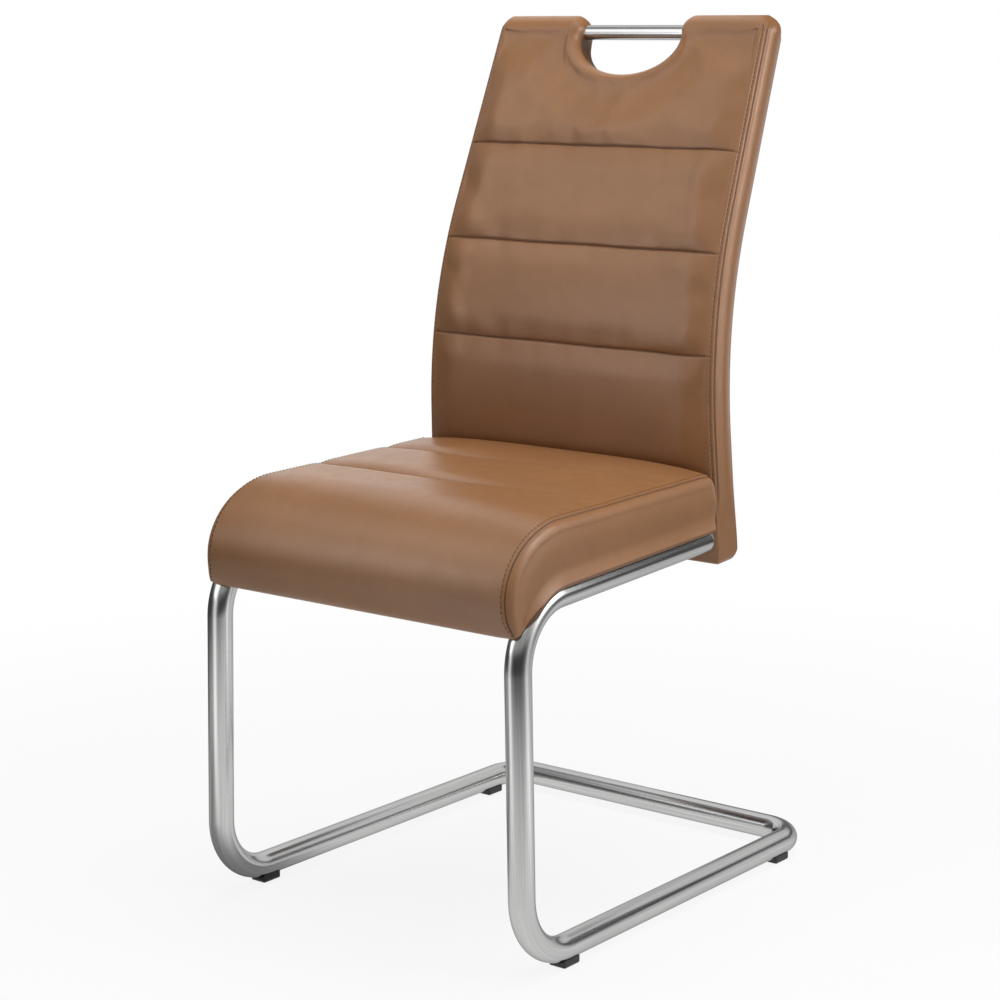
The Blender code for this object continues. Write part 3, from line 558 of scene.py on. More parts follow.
def bent_line(corners, radii, step):
    """Points along straight runs joined by arcs, the arcs in even turns, the runs in even steps."""
    corners = np.asarray(corners, float)
    runs = []
    last = corners[0]

    def straight(end):
        share = np.linspace(0, 1, max(2, round(np.linalg.norm(end - last) / step)))[:, None]
        return last + (end - last) * share

    for before, corner, after, radius in zip(corners, corners[1:], corners[2:], radii):
        back = unit(before - corner)
        ahead = unit(after - corner)
        turn = math.pi - math.acos(float(back @ ahead))
        reach = radius * math.tan(turn / 2)
        middle = corner + unit(back + ahead) * radius / math.cos(turn / 2)
        start = corner + back * reach
        runs.append(straight(start)[:-1])
        angle = np.linspace(0, turn, BEND_STEPS)[:, None]
        side = (start - middle) / radius
        turned = middle + radius * (side * np.cos(angle) - back * np.sin(angle))
        runs.append(turned[:-1])
        last = corner + ahead * reach
    return np.concatenate([*runs, straight(corners[-1])])


def swept_round(line, radius, sides, caps):
    """Rings of a circle carried along a line, each square to it.

    The ring's first direction is carried on from ring to ring. (inset, advance) pairs close
    both ends: each shrinks the ring and moves it on along the line's end. UV is the length
    round the ring and the length along the line.
    """
    ahead = unit(np.gradient(line, axis=0))
    across = np.empty_like(line)
    across[0] = unit(np.cross(ahead[0], [1.0, 0.3, 0.2]))
    for k in range(1, len(line)):
        across[k] = unit(across[k - 1] - ahead[k] * (across[k - 1] @ ahead[k]))
    over = np.cross(ahead, across)
    length = lengths(line)
    shrink, advance = np.transpose(caps)
    first = np.zeros(len(caps), int)
    rows = np.concatenate([first, np.arange(len(line)), first + len(line) - 1])
    moved = np.concatenate([-advance[::-1], np.zeros(len(line)), advance])
    size = np.concatenate([radius - shrink[::-1], np.full(len(line), radius), radius - shrink])
    turn = np.linspace(0, 2 * math.pi, sides + 1)
    ring = across[rows, None] * np.cos(turn)[:, None] + over[rows, None] * np.sin(turn)[:, None]
    centre = line[rows] + ahead[rows] * moved[:, None]
    points = centre[:, None] + ring * size[:, None, None]
    values = np.zeros_like(points)
    values[..., 0] = turn * radius
    values[..., 1] = (length[rows] + moved)[:, None]
    return points, values


def rail_point(along, lift):
    """(y, z) in the middle plane, along the rail from its front corner and lifted off its axis."""
    return RAIL_CORNER + np.multiply.outer(along, RAIL_ALONG) + np.multiply.outer(lift, RAIL_UP)


def sled_line():
    """Axis of the tube: rail, leg, runner, crossbar and back again, with rounded corners."""
    half = [
        [RAIL_HALF, *rail_point(RAIL_END, 0.0)],
        [RAIL_HALF, *RAIL_CORNER],
        [RUNNER_HALF, LEG_Y, RUNNER_Z],
        [RUNNER_HALF, LEG_Y + RUNNER_LENGTH, RUNNER_Z],
    ]
    other = [[-x, y, z] for x, y, z in reversed(half)]
    bends = [FRONT_BEND_R, FRONT_BEND_R, REAR_BEND_R]
    line = bent_line(half + other, bends + bends[::-1], TUBE_STEP)
    near = line[[0, -1]] + 0.03 * (line[[1, -2]] - line[[0, -1]])
    return np.concatenate([line[:1], near[:1], line[1:-1], near[1:], line[-1:]])


FLAT_END = [(TUBE_R * 0.06, 0.0), (TUBE_R, 0.0)]
tube = add_piece("sled_frame", [swept_round(sled_line(), TUBE_R, TUBE_SIDES, FLAT_END)], STEEL)
fit(tube, "brushed_steel", "sled_tube")

DOME_TURN = np.linspace(0.1, math.pi / 2, 9)
DOME = [(TUBE_R * (1 - math.cos(a)), PLUG_DOME * math.sin(a)) for a in DOME_TURN]
for side, sign in (("left", -1), ("right", 1)):
    seat_end = np.linspace(RAIL_END - PLUG_SEAT, RAIL_END + PLUG_PROUD, 3)
    x = np.full((3, 1), sign * RAIL_HALF)
    axis = np.concatenate([x, rail_point(seat_end, np.zeros(3))], axis=1)
    dome = swept_round(axis, TUBE_R - PLUG_CLEARANCE, TUBE_SIDES, DOME)
    cap = add_piece("rail_cap_" + side, [dome], STEEL)
    fit(cap, "brushed_steel", "rail_plug_" + side)


# --- seat


def seat_lines(row):
    """Underside, side seam, outward direction and direction off the tube, as (y, z) by row.

    Rows from 0 back are metres behind the nose. Rows below 0 are minus the share of the nose's
    turn: an ellipse over the front, then a smaller one tucking under it.
    """
    far = SEAT_DEPTH / math.cos(RAIL_SLOPE)
    run = np.maximum(row, 0)
    turn = np.minimum(row, 0)
    along = RAIL_TANGENT + (far - RAIL_TANGENT) * run / SEAT_RUN
    low = rail_point(along, np.full_like(run, SEAT_UNDER))
    angle = RAIL_SLOPE - turn * HEM_ANGLE
    away = pairs(-np.sin(angle), np.cos(angle))
    low = np.where((row < 0)[:, None], BEND_CENTRE + away * (FRONT_BEND_R + SEAT_UNDER), low)
    angle = math.pi / 2 + turn * (math.pi / 2 + TUCK_ANGLE)
    over = angle >= 0
    reach = np.where(over, NOSE_DEPTH, TUCK_DEPTH)
    height = np.where(over, NOSE_DROP, TUCK_DROP)
    centre = np.where(over, NOSE_Y, TUCK_DEPTH - NOSE_OVERHANG)
    rise = (SEAT_RISE_REAR - SEAT_RISE_FRONT) * run / SEAT_RUN
    seam_y = LEG_Y + centre + run - reach * np.cos(angle)
    seam_z = RAIL_HEIGHT + SEAT_RISE_FRONT - NOSE_DROP + rise + height * np.sin(angle)
    outward = unit(pairs(-height * np.cos(angle), reach * np.sin(angle)))
    return low, pairs(seam_y, seam_z), outward, away


def seat_half(height):
    """Half width at a share of the side's height: an even taper with a belly."""
    taper = SEAT_HEM_HALF + (SEAT_SEAM_HALF - SEAT_HEM_HALF) * height
    return taper + SEAT_SIDE_BULGE * 4 * height * (1 - height)


def seat_rows(step, close):
    """Rows at even lengths along the seam line, closer about the sewn channels."""
    flat = np.linspace(0, SEAT_RUN - SEAT_REAR_R, 400)
    fine = np.concatenate([np.linspace(-1, 0, 400)[:-1], flat])
    length = lengths(seat_lines(fine)[1])
    rows = np.interp(np.arange(0, length[-1], step), length, fine)
    return around(np.append(rows, fine[-1]), SEAT_CHANNELS, close)


def seat_shell(rows, girth, folds, sewn):
    """Cushion as loops round its section, one for each row, closed at the hem and the rear.

    The girth runs 0..1 across half the top, 1..2 round the seam's edge, 2..3 down the side,
    flared to a hem beside the tube, and 3..4 back to the middle underneath, negative on the
    left. The top is crowned and drawn in along the channels. At the rear the loop shrinks round
    a quarter circle, then to a point.
    """
    bend = np.linspace(0, math.pi / 2, folds + 1)[1:]
    rounded = SEAT_RUN - SEAT_REAR_R * (1 - np.sin(bend))
    row = np.concatenate([rows[:1], rows, rounded, np.full(folds, SEAT_RUN)])
    low, seam, outward, away = seat_lines(row)
    skirted = eased((1 + np.minimum(row, 0)) / SKIRT_FADE_NOSE)
    skirted = (skirted * eased((SEAT_RUN - SKIRT_END - row) / SKIRT_FADE_REAR))[:, None]
    rail_x = RAIL_HALF + RAIL_SPREAD * np.maximum(0, -row)[:, None]
    low = low - away * (skirted * (SEAT_UNDER - SEAT_HEM_LIFT))
    tall = np.linalg.norm(seam - low, axis=1)[:, None]
    edge = np.minimum(SEAT_EDGE_R, 0.42 * tall)
    g = np.abs(girth)
    top = np.clip(g, 0, 1)
    turn = np.clip(g - 1, 0, 1) * math.pi / 2
    down = np.clip(g - 2, 0, 1)
    home = np.clip(g - 3, 0, 1)
    height = np.where(g <= 2, tall - edge * (1 - np.cos(turn)), (tall - edge) * (1 - down)) / tall
    flare = skirted * np.clip(1 - height / SKIRT_SHARE, 0, 1) ** 2
    side = seat_half(height) + (SEAT_SKIRT_HALF - SEAT_HEM_HALF) * flare
    side_top = seat_half(1 - edge / tall)
    x = np.where(g <= 2, (side_top - edge) * top + edge * np.sin(turn), side * (1 - home))
    across = x / (side_top + 1e-9)
    nose = np.maximum(0, 1 + np.minimum(row, 0)) ** 1.5
    crown = (SEAT_CROWN * (1 + 0.3 * eased(row / 0.2)) * nose)[:, None] * np.maximum(0, 1 - across**4)
    apart = np.abs(row[:, None] - np.array(SEAT_CHANNELS))
    drawn = peak(apart / SEAT_CHANNEL_HALF).sum(axis=1)[:, None]
    pressed = peak(apart / (2.2 * SEAM_HALF)).sum(axis=1)[:, None] * sewn
    # the channels fade from the left side to the right
    inside = np.maximum(0, 1 - across**6) * (g <= 2) * (1 - 0.65 * eased((girth + 0.55) / 1.1))
    crown = crown - (SEAT_CHANNEL_DEPTH * drawn + SEAM_DEPTH * pressed) * inside
    crown = np.where(g <= 2, crown, 0)
    along_side = unit(seam - low)[:, None]
    tip = turn[:, None] / (math.pi / 2)
    fall = unit(outward[:, None] * (1 - tip) + along_side * tip)
    fallen = (edge * (1 - np.cos(turn)))[..., None]
    upper = seam[:, None] - fall * fallen + outward[:, None] * crown[..., None]
    lower = low[:, None] + along_side * (height * tall)[..., None]
    # underneath, the cover rises round the top of the tube
    beyond = np.clip((x - rail_x) / (SEAT_SKIRT_HALF - rail_x), 0, 1)
    over_tube = (SEAT_UNDER - SEAT_HEM_LIFT) * np.sqrt(1 - beyond**2)
    lower = lower + away[:, None] * (skirted * over_tube * (g >= 3))[..., None]
    yz = np.where((g <= 2)[:, None], upper, lower)
    # pulled in by the thread along the side seams
    beside = (g - SEAT_SEAM_GIRTH) * SEAT_EDGE_R * math.pi / 2
    nip = 0.7 * SEAM_DEPTH * peak(beside / (0.8 * SEAM_HALF)) * sewn * np.minimum(1, tall / 0.02)
    x = x - nip
    yz = yz - outward[:, None] * nip[..., None]
    # shrinking loops: the hem's end, the rounded rear edge and the rear wall
    n = len(row)
    inset = np.zeros(n)
    inset[1 + len(rows) : 1 + len(rows) + folds] = SEAT_REAR_R * (1 - np.cos(bend))
    inset[-folds:] = SEAT_REAR_R
    share = np.ones(n)
    share[-folds:] = 1 - np.linspace(0.04, 1, folds) ** 1.6
    share[0] = 0
    x = x * (1 - 0.45 * inset[:, None] / SEAT_HEM_HALF)
    yz = low[:, None] + (yz - low[:, None]) * (1 - inset[:, None] / tall)[..., None]
    middle = (low + seam)[:, None] / 2
    yz = middle + (yz - middle) * share[:, None, None]
    x = x * share[:, None]
    yz[..., 0] += SEAT_REAR_BULGE * (row > SEAT_RUN - 1e-9)[:, None] * (1 - share[:, None] ** 2)
    yz[..., 0] += SEAT_REAR_GROW * eased((row - SEAT_RUN) / SEAT_REAR_GROW_RUN + 1)[:, None]
    # the folds bow to the rear towards both sides
    bow = eased(row / SEAT_BOW_RUN) * eased((SEAT_RUN - SEAT_BOW_END - row) / SEAT_BOW_RUN)
    yz[..., 0] += SEAT_BOW * bow[:, None] * (1 - eased(g - 1)) * across**2
    points = np.concatenate([(np.sign(girth) * x)[..., None], yz], axis=-1)
    # darker along the seams and channels; painted shadow at the hem and painted shade at the rear
    values = np.zeros_like(points)
    dark = 0.9 * peak(beside / (0.7 * SEAM_HALF)) * np.ones((n, 1))
    dark = np.maximum(dark, 0.5 * peak(apart / (2 * SEAM_HALF)).sum(axis=1)[:, None] * inside)
    # painted shadow: the hem's edge and the cover turned under it dark, as in the gap over the tube
    dark = np.maximum(dark, 0.95 * eased((g - 2.93) / 0.02) * (g < 3.1))
    # painted shade: the rounded rear edge and the rear wall dark, where the back shades them
    dark = np.maximum(dark, 0.85 * eased((inset / SEAT_REAR_R - 0.3) / 0.5)[:, None])
    values[..., 2] = np.clip(dark, 0, 1) * sewn
    return points, values, row


top_girth = [np.linspace(0, 0.93, 26), np.linspace(0.94, 1.0, 5)]
edge_girth = [[1.04, 1.08, 1.13, 1.18, 1.22], np.linspace(1.26, 1.34, 7), np.linspace(1.38, 2.0, 9)]
side_girth = [np.linspace(2.06, 2.90, 13), [2.93, 2.944, 2.96, 2.98, 3.0]]
under_girth = [[3.008, 3.018, 3.03, 3.045, 3.065], np.linspace(3.14, 4.0, 7)]
half_girth = np.concatenate(top_girth + edge_girth + side_girth + under_girth)
fine_girth = np.concatenate([-half_girth[::-1], half_girth])
fine_rows = seat_rows(SEAT_ROW_STEP, CLOSE)
seat_points, seat_values, seat_row = seat_shell(fine_rows, fine_girth, 8, 1.0)


def seat_puff():
    """Settled shift of the seat's cover, worked out on a coarser shell and carried to the fine one."""
    top, edge = np.linspace(0, 1, 27), [SEAT_SEAM_GIRTH, 1.65, 2.0]
    girth = np.concatenate([top, edge, np.linspace(2.2, 3, 7), np.linspace(3.25, 4, 4)])
    girth = np.concatenate([-girth[:0:-1], girth])
    rows = seat_rows(SEAT_COARSE_STEP, np.array([0.007]))
    points, _, row = seat_shell(rows, girth, 5, 0.0)
    flat, quads, _ = joined([(points, 0.0)])
    beside = np.abs(np.abs(girth) - SEAT_SEAM_GIRTH) < 0.1
    sewn = (np.abs(row[:, None] - np.array(SEAT_CHANNELS)) < 1e-4).any(axis=1)
    held = beside[None] | (np.abs(girth) >= 2.9)[None] | sewn[:, None]
    held = held | ((row < -0.97) | (row > SEAT_RUN - SEAT_REAR_R))[:, None]
    shift = puff(flat, quads, held.ravel()).reshape(points.shape)
    use = np.concatenate([[0], 1 + np.flatnonzero(np.diff(row) > 1e-9)])
    by_row = bell(seat_row, row[use])
    by_girth = bell(fine_girth, girth)
    return np.einsum("ai,bj,ijk->abk", by_row, by_girth, shift[use])


seat_points = seat_points + seat_puff()
seat = add_piece("seat_cushion", [(seat_points, seat_values)], LEATHER, 1)
fit(seat, "tan_leather", "seat_cover", "seat_foam")


# --- back


def spine(climb):
    """(y, z) on the back's front line, and the direction to the rear.

    The line is a straight run, an arc and a straight rest.
    """
    run = np.minimum(climb, BACK_LOW_RUN)
    turn = np.clip(climb - BACK_LOW_RUN, 0, BACK_BEND_LENGTH) / BACK_BEND_R
    rest = np.maximum(climb - BACK_LOW_RUN - BACK_BEND_LENGTH, 0)
    lean = BACK_LEAN_LOW + turn
    depth = math.cos(BACK_LEAN_LOW) - np.cos(lean)
    height = np.sin(lean) - math.sin(BACK_LEAN_LOW)
    y = run * math.sin(BACK_LEAN_LOW) + BACK_BEND_R * depth + rest * np.sin(lean)
    z = run * math.cos(BACK_LEAN_LOW) + BACK_BEND_R * height + rest * np.cos(lean)
    foot = np.array([LEG_Y + SEAT_DEPTH + BACK_GAP, RAIL_HEIGHT - BACK_DROP])
    return foot + pairs(y, z), pairs(np.cos(lean), -np.sin(lean))


def bent(x, climb, depth):
    """Flat places of the back (across, up, behind its front line) bent along the spine."""
    line, rearward = spine(climb)
    return np.concatenate([x[..., None], line + rearward * depth[..., None]], axis=-1)


def back_half(climb):
    return BACK_PROUD + BACK_HALF_LOW + (BACK_HALF_TOP - BACK_HALF_LOW) * climb / BACK_LENGTH


CORNER_CLIMB = BACK_LENGTH - BACK_CORNER_R
CORNER_MIDDLE = (back_half(CORNER_CLIMB) - BACK_CORNER_R, CORNER_CLIMB)


def arc(middle, radius, start, end, count):
    """Points on part of a circle, its ends in degrees."""
    angle = np.radians(np.linspace(start, end, count))
    return pairs(middle[0] + radius * np.cos(angle), middle[1] + radius * np.sin(angle))


class BackGrid:
    """Counts of rows and columns of the back's panels, and its outline seen from the front.

    Rows run up the sides to the middle of each top corner. Columns run from there over the
    shoulder, down the cut-out's wall, along its floor and up the other side.
    """

    def __init__(self, low_rows, up, corner, shoulder, flare, wall, floor):
        self.low_rows = low_rows
        self.counts = (up, corner, shoulder, flare, wall, floor)
        self.split = low_rows[-1]
        self.rows = len(low_rows) + up + corner
        self.across = 2 * (corner + shoulder + flare + wall + floor) + 1

    def side(self):
        """Right side from the foot to the middle of the top corner, (x, climb)."""
        up, corner, *_ = self.counts
        straight = np.linspace(self.split, CORNER_MIDDLE[1], up + 1)[1:]
        straight = np.concatenate([self.low_rows, straight])
        turn = arc(CORNER_MIDDLE, BACK_CORNER_R, 0, 45, corner + 1)[1:]
        low = np.clip(BACK_FOOT_R - straight, 0, BACK_FOOT_R)
        wide = back_half(straight) - BACK_FOOT_R + np.sqrt(BACK_FOOT_R**2 - low**2)
        return np.concatenate([pairs(wide, straight), turn])

    def top(self):
        """From the right corner's middle over the shoulder and through the cut-out to the left one."""
        _, corner, shoulder, flare, wall, floor = self.counts
        first = arc(CORNER_MIDDLE, BACK_CORNER_R, 45, 90, corner + 1)
        inner = NOTCH_HALF + NOTCH_SHOULDER_R
        run = np.linspace(CORNER_MIDDLE[0], inner, shoulder + 1)[1:]
        second = pairs(run, np.full(shoulder, BACK_LENGTH))
        crest = (inner, BACK_LENGTH - NOTCH_SHOULDER_R)
        third = arc(crest, NOTCH_SHOULDER_R, 90, 180, flare + 1)[1:]
        drop = np.linspace(crest[1], BACK_LENGTH - NOTCH_STRAIGHT, wall + 1)[1:]
        fourth = pairs(np.full(wall, NOTCH_HALF), drop)
        angle = np.linspace(0, math.pi / 2, floor + 1)[1:]
        deep = NOTCH_BOTTOM - NOTCH_STRAIGHT
        fifth = pairs(NOTCH_HALF * np.cos(angle), drop[-1] - deep * np.sin(angle))
        half = np.concatenate([first, second, third, fourth, fifth])
        return np.concatenate([half, half[-2::-1] * [-1, 1]])

    def columns(self, wide):
        """Places of the columns across the back where the regular rows end, right to left."""
        _, corner, shoulder, flare, wall, floor = self.counts
        knots = np.cumsum([0, corner, shoulder, flare + wall, floor])
        places = [wide, wide - 0.010, NOTCH_HALF + 0.022, NOTCH_HALF - 0.004, 0.0]
        half = np.interp(np.arange(knots[-1] + 1), knots, places)
        return np.concatenate([half, -half[-2::-1]])

    def loop(self, inset=0.0):
        """Closed outline moved inwards square to itself, and its outward directions.

        It runs up the right side, over the top, down the left and along the foot.
        """
        side = self.side()
        columns = self.columns(back_half(self.split))
        foot = columns[::-1] * (side[0, 0] / columns[0])
        foot = pairs(foot, np.zeros_like(foot))
        ring = np.concatenate([side[:-1], self.top(), side[-2::-1] * [-1, 1], foot[1:-1]])
        ahead = np.roll(ring, -1, axis=0) - np.roll(ring, 1, axis=0)
        outward = unit(pairs(ahead[:, 1], -ahead[:, 0]))
        outward = np.concatenate([outward, outward[:1]])
        return np.concatenate([ring, ring[:1]]) - outward * np.reshape(inset, (-1, 1)), outward

    def panel(self, inset):
        """(x, climb) over the whole face: even taper below, then drawn to the top's outline.

        Above the split each point lies between the split line and the outline by the share of
        its row, corrected so that the side columns follow the side's outline.
        """
        ring, _ = self.loop(inset)
        side = ring[: self.rows]
        top = ring[self.rows - 1 : self.rows - 1 + self.across]
        lows = len(self.low_rows)
        columns = self.columns(side[lows - 1, 0])
        x_low = columns * (side[:lows, :1] / columns[0])
        low = pairs(x_low, np.broadcast_to(side[:lows, 1:], x_low.shape))
        low[0] = ring[-self.across :][::-1]
        base = pairs(columns, np.full_like(columns, self.split))
        share = np.linspace(0, 1, self.rows - lows + 1)[1:, None, None]
        high = base + (top - base) * share
        right = side[lows:, None] - high[:, :1]
        left = side[lows:, None] * [-1, 1] - high[:, -1:]
        lean = ((columns / columns[0] + 1) / 2)[None, :, None]
        return np.concatenate([low, high + right * lean**3 + left * (1 - lean) ** 3])

    def along(self, side, top, turning, notch, foot):
        """A value along the loop: sides, top, end of the turn into the cut-out, cut-out, foot."""
        up, corner, shoulder, flare, wall, floor = self.counts
        lows = len(self.low_rows) - 1
        knots = np.cumsum([0, lows + up, 2 * corner, shoulder, flare, wall, floor])
        known = [side, side, top, top, turning, notch, notch]
        half = np.interp(np.arange(knots[-1] + 1), knots, known)
        grown = np.clip((self.side()[:, 1] - 0.02) / 0.06, 0, 1)
        half[: self.rows] = foot + (half[: self.rows] - foot) * grown
        return np.concatenate([half, half[-2::-1], np.full(self.across - 1, foot)])


def lowered(climb, depth):
    """Climb raised near the foot by the rounded heel at the rear."""
    past = np.clip(depth - BACK_T + BACK_HEEL_R, 0, BACK_HEEL_R)
    heel = BACK_HEEL_R - np.sqrt(BACK_HEEL_R**2 - past**2)
    return climb + heel * np.clip(1 - climb / BACK_HEEL_REACH, 0, 1)


def nearest(places, outline):
    """Distance from each flat place to the nearest point of an outline."""
    gap = places.reshape(-1, 1, 2) - outline.reshape(1, -1, 2)
    return np.sqrt((gap**2).sum(axis=-1).min(axis=1)).reshape(places.shape[:-1])


def gaps_to(climb, seams):
    return np.abs(climb[..., None] - np.array(seams)).min(axis=-1)


def back_shell(grid, sewn):
    """Grids of the back: padded front panel, rim and boxing round it, rear panel.

    The front stands out in pillows between the sewn channels and eases down to its edge. The rim
    turns a quarter circle and carries the stitched row and the seam, the boxing swells between
    its edges, and the rear rim turns in. Over the top and in the cut-out rim and boxing are drawn
    into half an ellipse. The rear panel is plain and slightly full.
    """
    rim = grid.along(*BACK_FRONT_RIM)
    rear = grid.along(*BACK_REAR_RIM)
    panel = grid.panel(rim)
    climb = panel[..., 1]
    ring = grid.loop(rim)[0][: 2 * grid.rows + grid.across - 2]
    top = slice(grid.rows - 1, grid.rows + grid.across - 1)
    edge = nearest(panel, np.delete(ring, top, axis=0))
    sewing = gaps_to(climb, BACK_SEAMS)
    apart = gaps_to(climb, (BACK_PAD_START, *BACK_SEAMS))
    bordered = swell(edge / BACK_EDGE_EASE) * eased(nearest(panel, ring[top]) / BACK_TOP_EASE)
    base = BACK_SEAM_RISE * bordered * swell((climb - BACK_PAD_START) / BACK_PAD_EASE)
    pillow = swell(apart / BACK_PILLOW_EASE) * (climb > BACK_PAD_START)
    rise = base + BACK_PANEL_RISE * bordered * pillow
    gather = BACK_GATHER * np.sin(panel[..., 0] * 145 + climb * 23)
    gather = gather * np.exp(-sewing / 0.016) * eased(edge / 0.05)
    pinch = peak(sewing / SEAM_HALF) * SEAM_DEPTH * sewn
    wander = BACK_WANDER * np.sin(panel[..., 0] * 47 + climb * 40)
    wander = wander * peak(sewing / 0.02) * eased(edge / 0.03)
    front = bent(panel[..., 0], climb + wander, pinch - rise - gather)
    front_values = np.zeros_like(front)
    dark = 0.8 * peak(sewing / (0.9 * SEAM_HALF)) * (0.4 + 0.6 * eased(edge / 0.025))
    front_values[..., 2] = dark * sewn

    turn = np.radians(RIM_TURNS if sewn else [0, 45, 90])[:, None]
    share = np.linspace(0, 1, 18 if sewn else 5)[1:-1, None]
    rounded = rim * (1 - np.cos(turn))
    boxed = rim + (BACK_T - rim - rear) * share
    depth = np.concatenate([rounded, boxed, BACK_T - rear * (1 - np.sin(turn[::2]))])
    inset = np.concatenate([rim * (1 - np.sin(turn)), 0 * boxed, rear * (1 - np.cos(turn[::2]))])
    belly = np.clip((depth - rim) / (BACK_T - rim - rear), 0, 1)
    bulge = grid.along(*BACK_BULGE)
    out = 4 * belly * (1 - belly) * bulge - inset
    half_turn = np.linspace(0, math.pi, len(depth))[:, None]
    edge_in = np.where(half_turn < math.pi / 2, rim, rear)
    domed = grid.along(0, 1, 0.8, 0.5, 0)
    out = out + ((edge_in + bulge) * np.sin(half_turn) - edge_in - out) * domed
    depth = depth + (BACK_T / 2 * (1 - np.cos(half_turn)) - depth) * domed

    flat, outward = grid.loop()
    on_side = grid.along(1, 0, 0, 0, 0) ** 2
    between = (SEAM_TURN + STITCH_TURN) / 2
    seam = peak(rim * (turn - SEAM_TURN) / SEAM_HALF) * on_side
    row = peak(rim * (turn - STITCH_TURN) / SEAM_HALF) * on_side
    roll = peak(rim * (turn - between) / (1.6 * SEAM_HALF)) * on_side
    channel = peak(gaps_to(flat[:, 1], BACK_SEAMS) / SEAM_HALF) * on_side
    channel = 0.4 * channel * (turn < STITCH_TURN)
    nip = sewn * SEAM_DEPTH * (np.maximum(np.maximum(0.9 * seam, 0.6 * row), channel) - 0.35 * roll)
    depth[: len(turn)] += nip * np.cos(turn)
    out[: len(turn)] -= nip * np.sin(turn)
    loops = flat + outward * out[..., None]
    boxing = bent(loops[..., 0], lowered(loops[..., 1], depth), depth)
    boxing_values = np.zeros_like(boxing)
    boxing_values[: len(turn), :, 2] = np.maximum(np.maximum(seam, 0.3 * row), 0.8 * channel) * sewn
    lining = eased((half_turn - LINING_TURN) / 0.1) * grid.along(0, 0, 0.3, 1, 0)
    boxing_values[..., 2] = np.maximum(boxing_values[..., 2], 0.8 * lining * sewn)

    plain = grid.panel(rear)
    full = BACK_REAR_RISE * eased(nearest(plain, grid.loop(rear)[0]) / BACK_REAR_EASE)
    raised = lowered(plain[..., 1], np.full_like(full, BACK_T))
    back_face = bent(plain[..., 0], raised, BACK_T + full)
    return [(front, front_values), (boxing, boxing_values), (back_face, np.zeros_like(back_face))]


foot_steps = BACK_FOOT_R * (1 - np.cos(np.linspace(0, math.pi / 2, 7)))
low_steps = np.linspace(BACK_FOOT_R, BACK_SEAMS[-1] + BACK_ROWS_ABOVE, 77)
low_steps = np.concatenate([foot_steps, low_steps[1:]])
back_grid = BackGrid(around(low_steps, BACK_SEAMS, CLOSE), 20, 4, 16, 7, 5, 24)
back_grids = back_shell(back_grid, 1.0)


def back_puff():
    """Settled shift of the back's front panel, from a coarser back blown up between its seams."""
    places = np.linspace(0, BACK_SEAMS[-1] + BACK_ROWS_ABOVE, 54)
    places = np.unique(np.concatenate([places, BACK_SEAMS]).round(6))
    apart = gaps_to(places, BACK_SEAMS)
    places = places[(apart < 1e-5) | (apart > 0.004)]
    coarse = BackGrid(places, 12, 2, 9, 3, 2, 11)
    grids = back_shell(coarse, 0.0)
    points, quads, _ = joined(grids)
    rows, columns = grids[0][0].shape[:2]
    held = np.zeros((rows, columns), bool)
    sewn = gaps_to(places, BACK_SEAMS) < 1e-4
    held[: len(places)] = (sewn | (places < BACK_PAD_START))[:, None]
    held[[0, -1]] = True
    held[:, [0, -1]] = True
    pinned = np.concatenate([held.ravel(), np.ones(len(points) - held.size, bool)])
    shift = puff(points, quads, pinned)[: held.size].reshape(rows, columns, 3)
    above = BACK_ROWS_ABOVE * np.arange(1, rows - len(places) + 1)
    row_old = np.concatenate([places, places[-1] + above])
    extra = back_grid.rows - len(back_grid.low_rows)
    row_new = np.linspace(places[-1], row_old[-1], extra + 1)[1:]
    by_row = bell(np.concatenate([back_grid.low_rows, row_new]), row_old)
    wide = back_half(back_grid.split)
    by_column = bell(-back_grid.columns(wide), -coarse.columns(wide))
    return np.einsum("ai,bj,ijk->abk", by_row, by_column, shift)


fuller = back_puff()
fuller[[0, -1]] = 0
fuller[:, [0, -1]] = 0
back_grids[0] = (back_grids[0][0] + fuller, back_grids[0][1])
back = add_piece("back_cushion", back_grids, LEATHER)
fit(back, "tan_leather", "back_cover_front", "back_cover_rear", "back_foam", "notch_lining")


# --- grip bar

bar_line = np.linspace(-BAR_HALF, BAR_HALF, 9)
bar_climb = np.full_like(bar_line, BACK_LENGTH - BAR_DROP)
bar_line = bent(bar_line, bar_climb, np.full_like(bar_line, BAR_DEPTH))
BAR_ENDS = [(BAR_R * 0.08, 0.0), (BAR_R, 0.0)]
bar = add_piece("grip_handle", [swept_round(bar_line, BAR_R, BAR_SIDES, BAR_ENDS)], STEEL)
fit(bar, "brushed_steel", "grip_bar")


# --- stitches


def stitch_row(line, outward):
    """Small thread beads along a line at an even pitch.

    A bead is rings of a small circle, wide in the middle and closed at both ends. It is arched,
    so that its ends sink into the cover.
    """
    length = lengths(line)
    places = np.arange(STITCH_PITCH / 2, length[-1], STITCH_PITCH)

    def found(places, values):
        return np.stack([np.interp(places, length, values[:, k]) for k in range(3)], axis=-1)

    at = found(places, line)
    out = unit(found(places, outward))
    along = unit(found(places + 0.0005, line) - at)
    side = np.cross(along, out)
    t = np.linspace(-1, 1, 6)
    thick = STITCH_R * np.sqrt(1 - t**2 * 0.999) ** 0.6
    thick[[0, -1]] = 0
    turn = np.linspace(0, 2 * math.pi, 7)
    centre = at[:, None] + along[:, None] * (t * STITCH_LENGTH / 2)[:, None]
    centre = centre + out[:, None] * (STITCH_R * (0.9 - 1.7 * t**2))[:, None]
    ring = side[:, None, None] * np.cos(turn)[:, None] + out[:, None, None] * np.sin(turn)[:, None]
    return centre[:, :, None] + ring * thick[:, None, None]


def add_stitches(name, points, outward, runs):
    """Stitches along runs of a grid's points, each given as its rows and columns."""
    rows = [(stitch_row(points[run], outward[run]), 0.0) for run in runs]
    fit(add_piece(name, rows, THREAD), "tan_leather")


